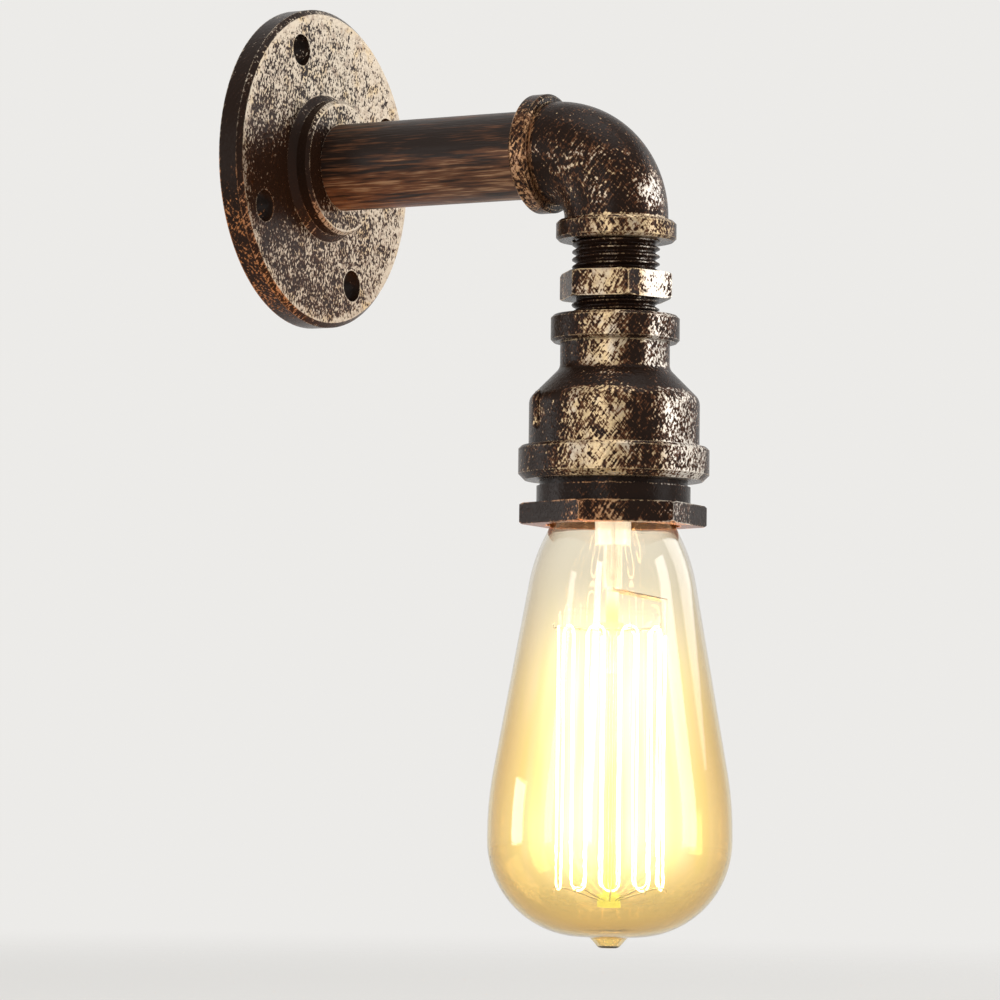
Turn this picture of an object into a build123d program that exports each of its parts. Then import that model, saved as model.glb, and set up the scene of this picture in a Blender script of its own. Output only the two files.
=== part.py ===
from build123d import *
import math
import os

os.makedirs("parts", exist_ok=True)

# Industrial pipe wall light, in millimetres.
# The wall is the plane Y = 0 and the light stands out from it towards -Y, with +Z up.
# The origin is the middle of the flange's back face, on the axis of the arm.
# A "reach" is a distance out from the wall, along the arm's axis.
# A "drop" is a distance down from the arm's axis, along the lamp's axis.

# ---------------------------------------------------------------- driving dimensions
# Arm: half-inch steel pipe, screwed into malleable fittings
arm_reach = 87.6
pipe_diameter = 21.3
pipe_wall = 2.6
pipe_setback = 1.0
thread_diameter = 20.96
thread_grip = 9.0

# Wall flange
flange_diameter = 78.6
flange_thickness = 6.0
flange_edge = 1.2
boss_wall = 5.95
boss_height = 4.9
boss_foot = 1.6
boss_edge = 0.8
screw_circle = 61.0
screw_hole = 7.8
screw_count = 4
screw_turn = 24.0

# Elbow
elbow_centre_to_face = 22.1
elbow_bend = 16.6
elbow_wall = 1.75
elbow_bore_step = 2.05
elbow_band_rise = 1.95
elbow_band_width = 4.8
elbow_bore_runs = 3
band_edge = 0.7

# Hexagon nipple
nipple_hex_flats = 24.2
nipple_hex_height = 6.3
nipple_hex_turn = 11.0
nipple_wall = 2.98
nipple_thread_above = 7.7
nipple_thread_below = 3.8
hex_corner_slope = 30.0
hex_corner_trim = 0.7

# Bell reducer
reducer_grip = 10.0
small_band_wall = 4.87
small_band_height = 6.5
neck_wall = 2.57
neck_height = 6.2
neck_round = 2.6
bell_slope = 45.0
bell_wall = 3.9
bell_height = 18.6
bell_round = 3.2
big_band_wall = 5.1
big_band_height = 8.1
big_band_lower_edge = 1.5
throat_lip = 1.18
throat_length = 1.4
cavity_gap = 1.0
socket_depth = 11.8

# Hexagon bushing
spigot_wall = 1.7
spigot_gap = 1.4
ring_rise = 0.7
ring_height = 4.2
bushing_corner_inset = 0.18
bushing_hex_height = 5.0
bushing_hex_turn = 37.5

# Lamp holder and its contacts
washer_thickness = 0.8
washer_width = 1.6
holder_wall = 1.45
holder_flange_height = 2.0
holder_head_height = 12.7
holder_roof = 2.3
holder_skirt_height = 14.2
holder_shoulder = 3.5
holder_gap = 0.5
chamber_step = 5.1
contact_chamber = 18.4
shell_wall = 0.45
shell_lip = 4.2
shell_height = 20.0
tongue_thickness = 0.4
tongue_width = 4.0
tongue_sag = 0.3
tongue_overhang = 2.4
rivet_diameter = 1.6
rivet_head_diameter = 2.5
rivet_head_height = 0.5

# Terminals
terminal_offset = 5.6
terminal_length = 3.8
terminal_width = 4.4
terminal_height = 3.4
terminal_hole_offset = 4.9
terminal_hole_depth = 2.4
terminal_screw_diameter = 1.4
terminal_head_diameter = 2.4
terminal_head_height = 1.0
foot_width = 3.0
foot_thickness = 0.7
foot_margin = 0.8
neutral_rivet_inset = 3.25

# Wiring
wire_diameter = 2.0
core_diameter = 1.1
wire_spread = 1.6
wire_sink = 0.8
earth_lift = 1.9
ferrule_start = 13.0
ferrule_length = 8.0
ferrule_diameter = 1.7
collar_diameter = 3.0
collar_length = 3.4
wire_stand_off = 0.8
wire_straight = 12.0
wire_landing = 5.0
tag_thickness = 0.6
tag_hole_inset = 1.9
tag_width = 3.4

# Bulb glass, its heights taken from the eyelet
bulb_length = 131.1
bulb_diameter = 58.0
bulb_waist_diameter = 37.5
bulb_neck_start = 13.4
bulb_flare_start = 23.9
bulb_waist_start = 39.1
bulb_belly_height = 31.8
belly_straight = 1.2
bulb_dome_flat = 1.6
bulb_tip_length = 2.6
bulb_tip_diameter = 4.6
bulb_tip_foot = 9.2
bulb_tip_round = 1.2
bulb_wall = 0.8
flare_round = 4.0
waist_round = 40.0

# Bulb cap
cap_length = 26.5
cap_core_diameter = 24.4
cap_wall = 0.35
cap_rim_flare = 1.1
cap_skirt_height = 3.6
cap_shoulder = 8.9
cap_top = 4.4
cap_mouth_diameter = 16.0
cement_width = 7.0
cement_thickness = 0.85
eyelet_diameter = 9.5
eyelet_face = 4.4
eyelet_height = 1.5
eyelet_edge = 0.5
insulator_depth = 1.2
lead_hole = 1.4

# Edison thread of cap and shell
screw_pitch = 3.629
screw_height = 0.9
screw_gap = 0.4
screw_crest = 1.1
screw_foot = 2.2
cap_screw_turns = 2.75
shell_screw_turns = 3.0

# Stem, filament and hooks, their heights taken from the eyelet
stem_diameter = 8.6
stem_wall = 0.8
stem_rim = 0.8
stem_flare_length = 7.5
press_width = 8.2
press_thickness = 4.4
press_start = 36.0
press_end = 46.0
rod_diameter = 3.0
button_diameter = 5.6
button_height = 3.2
upper_button_at = 54.4
lower_button_gap = 4.6
filament_cage = 25.6
filament_top = 57.4
filament_bottom = 115.4
filament_thickness = 0.5
lower_hook_count = 10
hook_thickness = 0.4
hook_tail = 1.2
hook_overhang = 0.9
lead_thickness = 0.6
lead_spread = 5.0
lead_elbow_drop = 3.0
lead_turn = -60.0

# ---------------------------------------------------------------- worked-out sizes
pipe_radius = pipe_diameter / 2
pipe_bore = pipe_diameter - 2 * pipe_wall
thread_radius = thread_diameter / 2
boss_radius = pipe_radius + boss_wall
boss_top = flange_thickness + boss_height
elbow_radius = pipe_radius + elbow_wall
elbow_band_radius = elbow_radius + elbow_band_rise
elbow_bore = pipe_diameter - 2 * elbow_bore_step
nipple_bore = thread_diameter - 2 * nipple_wall

cap_core = cap_core_diameter / 2
cap_crest = cap_core + screw_height
cap_bore = cap_core - cap_wall
cap_mouth = cap_mouth_diameter / 2
shell_bore = cap_crest + screw_gap
shell_crest = cap_core + screw_gap
chamber_radius = shell_bore + shell_wall
holder_radius = chamber_radius + holder_wall
bushing_bore = 2 * (holder_radius + holder_gap)
socket_radius = bushing_bore / 2 + spigot_wall
cavity_radius = holder_radius + cavity_gap
bell_radius = cavity_radius + bell_wall
neck_radius = thread_radius + neck_wall
small_band_radius = thread_radius + small_band_wall
big_band_radius = socket_radius + big_band_wall
bushing_hex_flats = (big_band_radius - bushing_corner_inset) * math.sqrt(3)
throat_radius = thread_radius - throat_lip
glass_neck_radius = cap_bore - cement_thickness
glass_neck_bore = glass_neck_radius - bulb_wall

# Drops of the fittings, from the arm's axis down
elbow_face = elbow_centre_to_face
nipple_start = elbow_face - thread_grip
hex_top = elbow_face + nipple_thread_above
hex_bottom = hex_top + nipple_hex_height
reducer_top = hex_bottom + nipple_thread_below
nipple_end = reducer_top + reducer_grip
throat_top = nipple_end + tag_thickness
small_band_bottom = reducer_top + small_band_height
bell_top = small_band_bottom + neck_height
bell_bottom = bell_top + bell_height
reducer_bottom = bell_bottom + big_band_height
socket_seat = reducer_bottom - socket_depth
ring_top = reducer_bottom + spigot_gap
bushing_hex_top = ring_top + ring_height
bushing_bottom = bushing_hex_top + bushing_hex_height

# Drops of the lamp holder, which hangs on its flange
holder_flange_top = socket_seat + washer_thickness
holder_flange_bottom = holder_flange_top + holder_flange_height
holder_top = holder_flange_top - holder_head_height
holder_bottom = holder_flange_bottom + holder_skirt_height
contact_ceiling = holder_top + holder_roof
chamber_ceiling = contact_ceiling + chamber_step
tongue_bottom = contact_ceiling + tongue_thickness
shell_lip_bottom = chamber_ceiling + shell_wall
neutral_rivet_offset = chamber_radius - neutral_rivet_inset

# Drops of the bulb, which hangs from its eyelet
bulb_seat = tongue_bottom + tongue_sag
insulator_top = bulb_seat + eyelet_height
cap_start = bulb_seat + cap_top
cap_shoulder_drop = bulb_seat + cap_shoulder
cap_rim = bulb_seat + cap_length
skirt_top = cap_rim - cap_skirt_height
glass_neck_end = bulb_seat + bulb_neck_start
glass_flare = bulb_seat + bulb_flare_start
glass_waist = bulb_seat + bulb_waist_start
bulb_dome = bulb_seat + bulb_length - bulb_tip_length
glass_belly = bulb_dome - bulb_belly_height
strand_top = bulb_seat + filament_top
strand_bottom = bulb_seat + filament_bottom

# Filament cage: twice as many strands as lower hooks, evenly spaced
strand_count = 2 * lower_hook_count
strand_angle = 360 / strand_count
cage_radius = filament_cage / 2
strand_gap = 2 * cage_radius * math.sin(math.radians(strand_angle / 2))
turn_centre = cage_radius * math.cos(math.radians(strand_angle / 2))

# ---------------------------------------------------------------- planes and axes
arm_axis = Axis((0, 0, 0), (0, -1, 0))
lamp_axis = Axis((0, -arm_reach, 0), (0, 0, 1))

# Section planes hold (radius, reach) and (radius, drop)
arm_section = Plane(origin=(0, 0, 0), x_dir=(1, 0, 0), z_dir=(0, 0, -1))
lamp_section = Plane(origin=(0, -arm_reach, 0), x_dir=(1, 0, 0), z_dir=(0, 1, 0))


def at_drop(drop):
    """The level plane across the lamp's axis, facing up."""
    return Plane(origin=(0, -arm_reach, -drop))


def lamp_point(across, away, drop):
    """A point given from the lamp's axis: across the arm, away from the wall, down."""
    return (across, -arm_reach - away, -drop)


def around_lamp(angle, radius, drop):
    """A point given by its angle and radius round the lamp's axis."""
    turn = math.radians(angle)
    return (radius * math.cos(turn), -arm_reach + radius * math.sin(turn), -drop)


def hex_envelope(across_flats, top, bottom):
    """Outline (radius, drop) of the turned shape that trims a hexagon's corners."""
    corner = across_flats / math.sqrt(3)
    face = corner - hex_corner_trim
    cut = hex_corner_trim * math.tan(math.radians(hex_corner_slope))
    return [(0, top), (face, top), (corner, top + cut), (corner, bottom - cut), (face, bottom), (0, bottom)]


# ---------------------------------------------------------------- wall flange
with BuildPart() as wall_flange:
    with BuildSketch(arm_section):
        with BuildLine():
            Polyline(
                (pipe_radius, 0),
                (flange_diameter / 2, 0),
                (flange_diameter / 2, flange_thickness - flange_edge),
                (flange_diameter / 2 - flange_edge, flange_thickness),
                (boss_radius + boss_foot, flange_thickness),
                (boss_radius, flange_thickness + boss_foot),
                (boss_radius, boss_top - boss_edge),
                (boss_radius - boss_edge, boss_top),
                (pipe_radius, boss_top),
                close=True,
            )
        make_face()
    revolve(axis=arm_axis)
    with BuildSketch(Plane.XZ):
        with PolarLocations(screw_circle / 2, screw_count, start_angle=screw_turn):
            Circle(screw_hole / 2)
    extrude(amount=flange_thickness, mode=Mode.SUBTRACT)
wall_flange.part.label = "wall_flange"
export_step(wall_flange.part, "parts/wall_flange.step")

# ---------------------------------------------------------------- arm pipe
pipe_end = arm_reach - elbow_centre_to_face + thread_grip
with BuildPart() as arm_pipe:
    with BuildSketch(Plane.XZ.offset(pipe_setback)):
        Circle(pipe_radius)
        Circle(pipe_bore / 2, mode=Mode.SUBTRACT)
    extrude(amount=pipe_end - pipe_setback)
arm_pipe.part.label = "arm_pipe"
export_step(arm_pipe.part, "parts/arm_pipe.step")

# ---------------------------------------------------------------- elbow
# Two legs joined by a quarter turn: one towards the wall, one down
elbow_leg = arm_reach - elbow_centre_to_face
bend_angles = [90 * (run + 0.5) / elbow_bore_runs for run in range(elbow_bore_runs)]
bend_corner = elbow_bend / math.cos(math.radians(45 / elbow_bore_runs))
waterway_points = [(0, -elbow_leg, 0)]
for angle in bend_angles:
    turn = math.radians(angle)
    bend_out = elbow_bend - bend_corner * math.sin(turn)
    bend_down = elbow_bend - bend_corner * math.cos(turn)
    waterway_points.append((0, -arm_reach + bend_out, -bend_down))
waterway_points.append((0, -arm_reach, -elbow_face))
with BuildPart() as elbow:
    with BuildLine() as elbow_centreline:
        FilletPolyline(
            (0, -elbow_leg, 0),
            (0, -arm_reach, 0),
            (0, -arm_reach, -elbow_face),
            radius=elbow_bend,
        )
    with BuildSketch(Plane.XZ.offset(elbow_leg)):
        Circle(elbow_radius)
    sweep(path=elbow_centreline.line)
    with BuildSketch(Plane.XZ.offset(elbow_leg)):
        Circle(elbow_band_radius)
    extrude(amount=elbow_band_width)
    with BuildSketch(at_drop(elbow_face)):
        Circle(elbow_band_radius)
    extrude(amount=elbow_band_width)
    band_rims = elbow.edges().filter_by(GeomType.CIRCLE).filter_by(
        lambda rim: abs(rim.radius - elbow_band_radius) < 0.01
    )
    chamfer(band_rims, length=band_edge)
    with BuildLine() as waterway:
        Polyline(*waterway_points)
    with BuildSketch(Plane.XZ.offset(elbow_leg)):
        Circle(elbow_bore / 2)
    sweep(path=waterway.line, transition=Transition.RIGHT, mode=Mode.SUBTRACT)
    with BuildSketch(Plane.XZ.offset(elbow_leg)):
        Circle(pipe_radius)
    extrude(amount=thread_grip, mode=Mode.SUBTRACT)
    with BuildSketch(at_drop(elbow_face)):
        Circle(thread_radius)
    extrude(amount=thread_grip, mode=Mode.SUBTRACT)
elbow.part.label = "elbow"
export_step(elbow.part, "parts/elbow.step")

# ---------------------------------------------------------------- hexagon nipple
with BuildPart() as hex_nipple:
    with BuildSketch(at_drop(hex_bottom)):
        RegularPolygon(nipple_hex_flats / 2, 6, major_radius=False, rotation=nipple_hex_turn - 30)
    extrude(amount=nipple_hex_height)
    with BuildSketch(lamp_section):
        with BuildLine():
            Polyline(*hex_envelope(nipple_hex_flats, hex_top, hex_bottom), close=True)
        make_face()
    revolve(axis=lamp_axis, mode=Mode.INTERSECT)
    with BuildSketch(at_drop(nipple_end)):
        Circle(thread_radius)
    extrude(amount=nipple_end - nipple_start)
    with BuildSketch(at_drop(nipple_end)):
        Circle(nipple_bore / 2)
    extrude(amount=nipple_end - nipple_start, mode=Mode.SUBTRACT)
hex_nipple.part.label = "hex_nipple"
export_step(hex_nipple.part, "parts/hex_nipple.step")

# ---------------------------------------------------------------- bell reducer
cavity_top = throat_top + throat_length + cavity_radius - throat_radius
bell_run = (bell_radius - neck_radius) / math.tan(math.radians(bell_slope))
with BuildPart() as bell_reducer:
    with BuildSketch(lamp_section):
        with BuildLine():
            FilletPolyline(
                (neck_radius, small_band_bottom),
                (neck_radius, bell_top),
                (bell_radius, bell_top + bell_run),
                (bell_radius, bell_bottom),
                radius=[neck_round, bell_round],
            )
            Polyline(
                (bell_radius, bell_bottom),
                (big_band_radius - band_edge, bell_bottom),
                (big_band_radius, bell_bottom + band_edge),
                (big_band_radius, reducer_bottom - big_band_lower_edge),
                (big_band_radius - big_band_lower_edge, reducer_bottom),
                (socket_radius, reducer_bottom),
                (socket_radius, socket_seat),
                (cavity_radius, socket_seat),
                (cavity_radius, cavity_top),
                (throat_radius, throat_top + throat_length),
                (throat_radius, throat_top),
                (thread_radius, throat_top),
                (thread_radius, reducer_top),
                (small_band_radius - band_edge, reducer_top),
                (small_band_radius, reducer_top + band_edge),
                (small_band_radius, small_band_bottom - band_edge),
                (small_band_radius - band_edge, small_band_bottom),
                (neck_radius, small_band_bottom),
            )
        make_face()
    revolve(axis=lamp_axis)
bell_reducer.part.label = "bell_reducer"
export_step(bell_reducer.part, "parts/bell_reducer.step")

# ---------------------------------------------------------------- hexagon bushing
with BuildPart() as socket_bushing:
    with BuildSketch(at_drop(bushing_bottom)):
        RegularPolygon(bushing_hex_flats / 2, 6, major_radius=False, rotation=bushing_hex_turn - 30)
    extrude(amount=bushing_hex_height)
    with BuildSketch(lamp_section):
        with BuildLine():
            Polyline(*hex_envelope(bushing_hex_flats, bushing_hex_top, bushing_bottom), close=True)
        make_face()
    revolve(axis=lamp_axis, mode=Mode.INTERSECT)
    with BuildSketch(at_drop(bushing_hex_top)):
        Circle(socket_radius + ring_rise)
    extrude(amount=ring_height)
    with BuildSketch(at_drop(ring_top)):
        Circle(socket_radius)
    extrude(amount=ring_top - holder_flange_bottom)
    with BuildSketch(at_drop(bushing_bottom)):
        Circle(bushing_bore / 2)
    extrude(amount=bushing_bottom - holder_flange_bottom, mode=Mode.SUBTRACT)
socket_bushing.part.label = "socket_bushing"
export_step(socket_bushing.part, "parts/socket_bushing.step")

# ---------------------------------------------------------------- seat washer
with BuildPart() as seat_washer:
    with BuildSketch(at_drop(holder_flange_top)):
        Circle(socket_radius)
        Circle(socket_radius - washer_width, mode=Mode.SUBTRACT)
    extrude(amount=washer_thickness)
seat_washer.part.label = "seat_washer"
export_step(seat_washer.part, "parts/seat_washer.step")

# ---------------------------------------------------------------- lamp holder
with BuildPart() as lamp_holder:
    with BuildSketch(lamp_section):
        with BuildLine():
            Polyline(
                (0, holder_top),
                (holder_radius - holder_shoulder, holder_top),
                (holder_radius, holder_top + holder_shoulder),
                (holder_radius, holder_flange_top),
                (socket_radius, holder_flange_top),
                (socket_radius, holder_flange_bottom),
                (holder_radius, holder_flange_bottom),
                (holder_radius, holder_bottom),
                (chamber_radius, holder_bottom),
                (chamber_radius, chamber_ceiling),
                (contact_chamber / 2, chamber_ceiling),
                (contact_chamber / 2, contact_ceiling),
                (0, contact_ceiling),
                close=True,
            )
        make_face()
    revolve(axis=lamp_axis)
    with BuildSketch(at_drop(chamber_ceiling)):
        with Locations((terminal_offset, 0), (-neutral_rivet_offset, 0)):
            Circle(rivet_diameter / 2)
    extrude(amount=chamber_ceiling - holder_top, mode=Mode.SUBTRACT)
lamp_holder.part.label = "lamp_holder"
export_step(lamp_holder.part, "parts/lamp_holder.step")

# ---------------------------------------------------------------- Edison thread
def add_thread(root, crest, first_drop, turns):
    """A right-handed ridge wound up from its lowest turn, standing from root to crest."""
    rise = math.copysign(1, crest - root)
    buried = root - rise * cap_wall / 2
    with BuildLine() as winding:
        Helix(screw_pitch, turns * screw_pitch, root, center=(0, -arm_reach, -first_drop))
    with BuildSketch(lamp_section) as ridge:
        with BuildLine():
            Polyline(
                (buried, first_drop - screw_foot / 2),
                (crest, first_drop - screw_crest / 2),
                (crest, first_drop + screw_crest / 2),
                (buried, first_drop + screw_foot / 2),
                close=True,
            )
        make_face()
    sweep(ridge.sketch, path=winding.line, is_frenet=True)


# The cap's lowest turn stands clear of its skirt, and the shell's ridge runs half a pitch above it
cap_screw_drop = skirt_top - screw_foot
shell_screw_drop = cap_screw_drop - screw_pitch / 2

# ---------------------------------------------------------------- screw shell
with BuildPart() as screw_shell:
    with BuildSketch(lamp_section):
        with BuildLine():
            Polyline(
                (chamber_radius, chamber_ceiling),
                (chamber_radius, chamber_ceiling + shell_height),
                (shell_bore, chamber_ceiling + shell_height),
                (shell_bore, shell_lip_bottom),
                (chamber_radius - shell_lip, shell_lip_bottom),
                (chamber_radius - shell_lip, chamber_ceiling),
                close=True,
            )
        make_face()
    revolve(axis=lamp_axis)
    with BuildSketch(at_drop(shell_lip_bottom)):
        with Locations((-neutral_rivet_offset, 0)):
            Circle(rivet_diameter / 2)
    extrude(amount=shell_wall, mode=Mode.SUBTRACT)
    add_thread(shell_bore, shell_crest, shell_screw_drop, shell_screw_turns)
screw_shell.part.label = "screw_shell"
export_step(screw_shell.part, "parts/screw_shell.step")

# ---------------------------------------------------------------- centre contact
# A leaf riveted under the roof, sprung down to the bulb's eyelet on the axis
leaf_end = terminal_offset + rivet_head_diameter
leaf_bend = terminal_offset - rivet_head_diameter / 2
with BuildPart() as centre_contact:
    with BuildSketch(lamp_section):
        with BuildLine():
            Polyline(
                (leaf_end, contact_ceiling),
                (leaf_end, tongue_bottom),
                (leaf_bend, tongue_bottom),
                (tongue_overhang, bulb_seat),
                (-tongue_overhang, bulb_seat),
                (-tongue_overhang, bulb_seat - tongue_thickness),
                (tongue_overhang, bulb_seat - tongue_thickness),
                (leaf_bend, contact_ceiling),
                close=True,
            )
        make_face()
    extrude(amount=tongue_width / 2, both=True)
    with BuildSketch(at_drop(tongue_bottom)):
        with Locations((terminal_offset, 0)):
            Circle(rivet_diameter / 2)
    extrude(amount=tongue_thickness, mode=Mode.SUBTRACT)
centre_contact.part.label = "centre_contact"
export_step(centre_contact.part, "parts/centre_contact.step")


# ---------------------------------------------------------------- terminals
def add_pillar(side):
    """A pillar terminal on the holder's roof: block, wire hole and screw hole."""
    with BuildSketch(at_drop(holder_top)) as block:
        with Locations((side * terminal_offset, 0)):
            Rectangle(terminal_length, terminal_width)
    extrude(block.sketch, amount=terminal_height)
    with BuildSketch(at_drop(holder_top - terminal_height)) as wire_hole:
        with Locations((side * terminal_hole_offset, 0)):
            Circle(core_diameter / 2)
    extrude(wire_hole.sketch, amount=-terminal_hole_depth, mode=Mode.SUBTRACT)
    with BuildSketch(screw_plane(side)) as screw_hole_outline:
        Circle(terminal_screw_diameter / 2)
    extrude(screw_hole_outline.sketch, amount=-(screw_reach + core_diameter / 2), mode=Mode.SUBTRACT)


def screw_plane(side):
    """The outer face of a pillar, where its clamping screw goes in."""
    face = side * (terminal_offset + terminal_length / 2)
    return Plane(origin=lamp_point(face, 0, screw_drop), x_dir=(0, 1, 0), z_dir=(side, 0, 0))


screw_drop = holder_top - terminal_height + terminal_hole_depth / 2
screw_reach = terminal_offset + terminal_length / 2 - terminal_hole_offset - core_diameter / 2

with BuildPart() as live_terminal:
    add_pillar(1)
    with BuildSketch(at_drop(holder_top)):
        with Locations((terminal_offset, 0)):
            Circle(rivet_diameter / 2)
    extrude(amount=-(tongue_bottom - holder_top))
    with BuildSketch(at_drop(tongue_bottom)):
        with Locations((terminal_offset, 0)):
            Circle(rivet_head_diameter / 2)
    extrude(amount=-rivet_head_height)
live_terminal.part.label = "live_terminal"
export_step(live_terminal.part, "parts/live_terminal.step")

neutral_foot_end = neutral_rivet_offset + foot_margin
with BuildPart() as neutral_terminal:
    add_pillar(-1)
    with BuildSketch(at_drop(holder_top)):
        with Locations((-(terminal_offset + neutral_foot_end) / 2, 0)):
            Rectangle(neutral_foot_end - terminal_offset, foot_width)
    extrude(amount=foot_thickness)
    with BuildSketch(at_drop(holder_top)):
        with Locations((-neutral_rivet_offset, 0)):
            Circle(rivet_diameter / 2)
    extrude(amount=-(shell_lip_bottom - holder_top))
    with BuildSketch(at_drop(shell_lip_bottom)):
        with Locations((-neutral_rivet_offset, 0)):
            Circle(rivet_head_diameter / 2)
    extrude(amount=-rivet_head_height)
neutral_terminal.part.label = "neutral_terminal"
export_step(neutral_terminal.part, "parts/neutral_terminal.step")

with BuildPart() as terminal_screws:
    for side in (1, -1):
        with BuildSketch(screw_plane(side)):
            Circle(terminal_screw_diameter / 2)
        extrude(amount=-screw_reach)
        with BuildSketch(screw_plane(side)):
            Circle(terminal_head_diameter / 2)
        extrude(amount=terminal_head_height)
terminal_screws.part.label = "terminal_screws"
export_step(terminal_screws.part, "parts/terminal_screws.step")

# ---------------------------------------------------------------- earth tag ring
tag_hole_offset = nipple_bore / 2 - tag_hole_inset
with BuildPart() as earth_tag_ring:
    with BuildSketch(at_drop(throat_top)):
        Circle(thread_radius)
        Circle(nipple_bore / 2, mode=Mode.SUBTRACT)
        with Locations((0, -(tag_hole_offset + thread_radius) / 2)):
            Rectangle(tag_width, thread_radius - tag_hole_offset)
        with Locations((0, -tag_hole_offset)):
            Circle(tag_width / 2)
            Circle(core_diameter / 2, mode=Mode.SUBTRACT)
    extrude(amount=tag_thickness)
earth_tag_ring.part.label = "earth_tag_ring"
export_step(earth_tag_ring.part, "parts/earth_tag_ring.step")


# ---------------------------------------------------------------- wires
def corner_radius(before, corner, after):
    """The largest arc that two runs allow: 0.45 of the shorter run over tan(turn / 2)."""
    run_in = Vector(*corner) - Vector(*before)
    run_out = Vector(*after) - Vector(*corner)
    turn = math.radians(run_in.get_angle(run_out))
    return 0.45 * min(run_in.length, run_out.length) / math.tan(turn / 2)


def wire_route(across, lift, landing, wire_end):
    """Points of a lead: along the pipe, round the elbow, down to its landing."""
    return [
        (across, -ferrule_start - ferrule_length, lift),
        (across, -arm_reach - lift, lift),
        lamp_point(across, lift, elbow_face + wire_straight),
        lamp_point(landing[0], landing[1], wire_end - wire_landing),
        lamp_point(landing[0], landing[1], wire_end),
    ]


def build_wire(name, across, lift, landing, wire_end):
    """One insulated lead, swept along straight runs and tangent arcs."""
    points = wire_route(across, lift, landing, wire_end)
    radii = [
        elbow_bend + lift,
        corner_radius(*points[1:4]),
        corner_radius(*points[2:5]),
    ]
    with BuildPart() as wire:
        with BuildLine() as route:
            FilletPolyline(*points, radius=radii)
        with BuildSketch(Plane(origin=points[0], x_dir=(1, 0, 0), z_dir=(0, -1, 0))):
            Circle(wire_diameter / 2)
        sweep(path=route.line)
    length = sum(edge.length for edge in route.edges())
    volume_ratio = wire.part.volume / (math.pi * wire_diameter**2 / 4 * length)
    print(name, "radii", [round(radius, 1) for radius in radii], "volume ratio", round(volume_ratio, 4))
    wire.part.label = name
    export_step(wire.part, f"parts/{name}.step")


core_end = holder_top - terminal_height + terminal_hole_depth
pillar_wire_end = holder_top - terminal_height - wire_stand_off
earth_wire_end = nipple_end - wire_stand_off
build_wire("live_wire", wire_spread, -wire_sink, (terminal_hole_offset, 0), pillar_wire_end)
build_wire("neutral_wire", -wire_spread, -wire_sink, (-terminal_hole_offset, 0), pillar_wire_end)
build_wire("earth_wire", 0, earth_lift, (0, tag_hole_offset), earth_wire_end)

# Bare copper from the end of each lead's insulation into its terminal
with BuildPart() as wire_cores:
    with BuildSketch(at_drop(core_end)):
        with Locations((terminal_hole_offset, 0), (-terminal_hole_offset, 0)):
            Circle(core_diameter / 2)
    extrude(amount=core_end - pillar_wire_end)
    with BuildSketch(at_drop(throat_top)):
        with Locations((0, -tag_hole_offset)):
            Circle(core_diameter / 2)
    extrude(amount=throat_top - earth_wire_end)
wire_cores.part.label = "wire_cores"
export_step(wire_cores.part, "parts/wire_cores.step")

with BuildPart() as wire_ferrules:
    with BuildSketch(Plane.XZ.offset(ferrule_start)):
        with Locations((wire_spread, -wire_sink), (-wire_spread, -wire_sink), (0, earth_lift)):
            Circle(ferrule_diameter / 2)
    extrude(amount=ferrule_length - collar_length)
    with BuildSketch(Plane.XZ.offset(ferrule_start + ferrule_length - collar_length)):
        with Locations((wire_spread, -wire_sink), (-wire_spread, -wire_sink), (0, earth_lift)):
            Circle(collar_diameter / 2)
    extrude(amount=collar_length)
wire_ferrules.part.label = "wire_ferrules"
export_step(wire_ferrules.part, "parts/wire_ferrules.step")

# ---------------------------------------------------------------- bulb glass
bulb_dome_radius = (bulb_diameter - bulb_tip_foot) / 2 - bulb_dome_flat
taper = math.atan((bulb_diameter - bulb_waist_diameter) / 2 / (glass_belly - glass_waist))
belly_round = (bulb_belly_height - bulb_dome_radius - belly_straight) / math.tan(taper / 2)
past_axis = 2 * bulb_wall
with BuildPart() as bulb_glass:
    with BuildSketch(lamp_section):
        with BuildLine():
            FilletPolyline(
                (-past_axis, glass_neck_end),
                (glass_neck_radius, glass_neck_end),
                (glass_neck_radius, glass_flare),
                (bulb_waist_diameter / 2, glass_waist),
                (bulb_diameter / 2, glass_belly),
                (bulb_diameter / 2, bulb_dome),
                (bulb_tip_foot / 2, bulb_dome),
                (bulb_tip_diameter / 2, bulb_dome + bulb_tip_length),
                (-past_axis, bulb_dome + bulb_tip_length),
                radius=[
                    0,
                    flare_round,
                    waist_round,
                    belly_round,
                    bulb_dome_radius,
                    bulb_tip_round,
                    bulb_tip_round,
                ],
            )
            Line((-past_axis, bulb_dome + bulb_tip_length), (-past_axis, glass_neck_end))
        make_face()
        offset(amount=-bulb_wall, mode=Mode.SUBTRACT)
        with Locations((-past_axis, (glass_neck_end + bulb_dome) / 2)):
            Rectangle(2 * past_axis, 2 * bulb_length, mode=Mode.SUBTRACT)
        with Locations((0, glass_neck_end)):
            Rectangle(2 * glass_neck_bore, 3 * bulb_wall, mode=Mode.SUBTRACT)
    revolve(axis=lamp_axis)
bulb_glass.part.label = "bulb_glass"
export_step(bulb_glass.part, "parts/bulb_glass.step")

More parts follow.
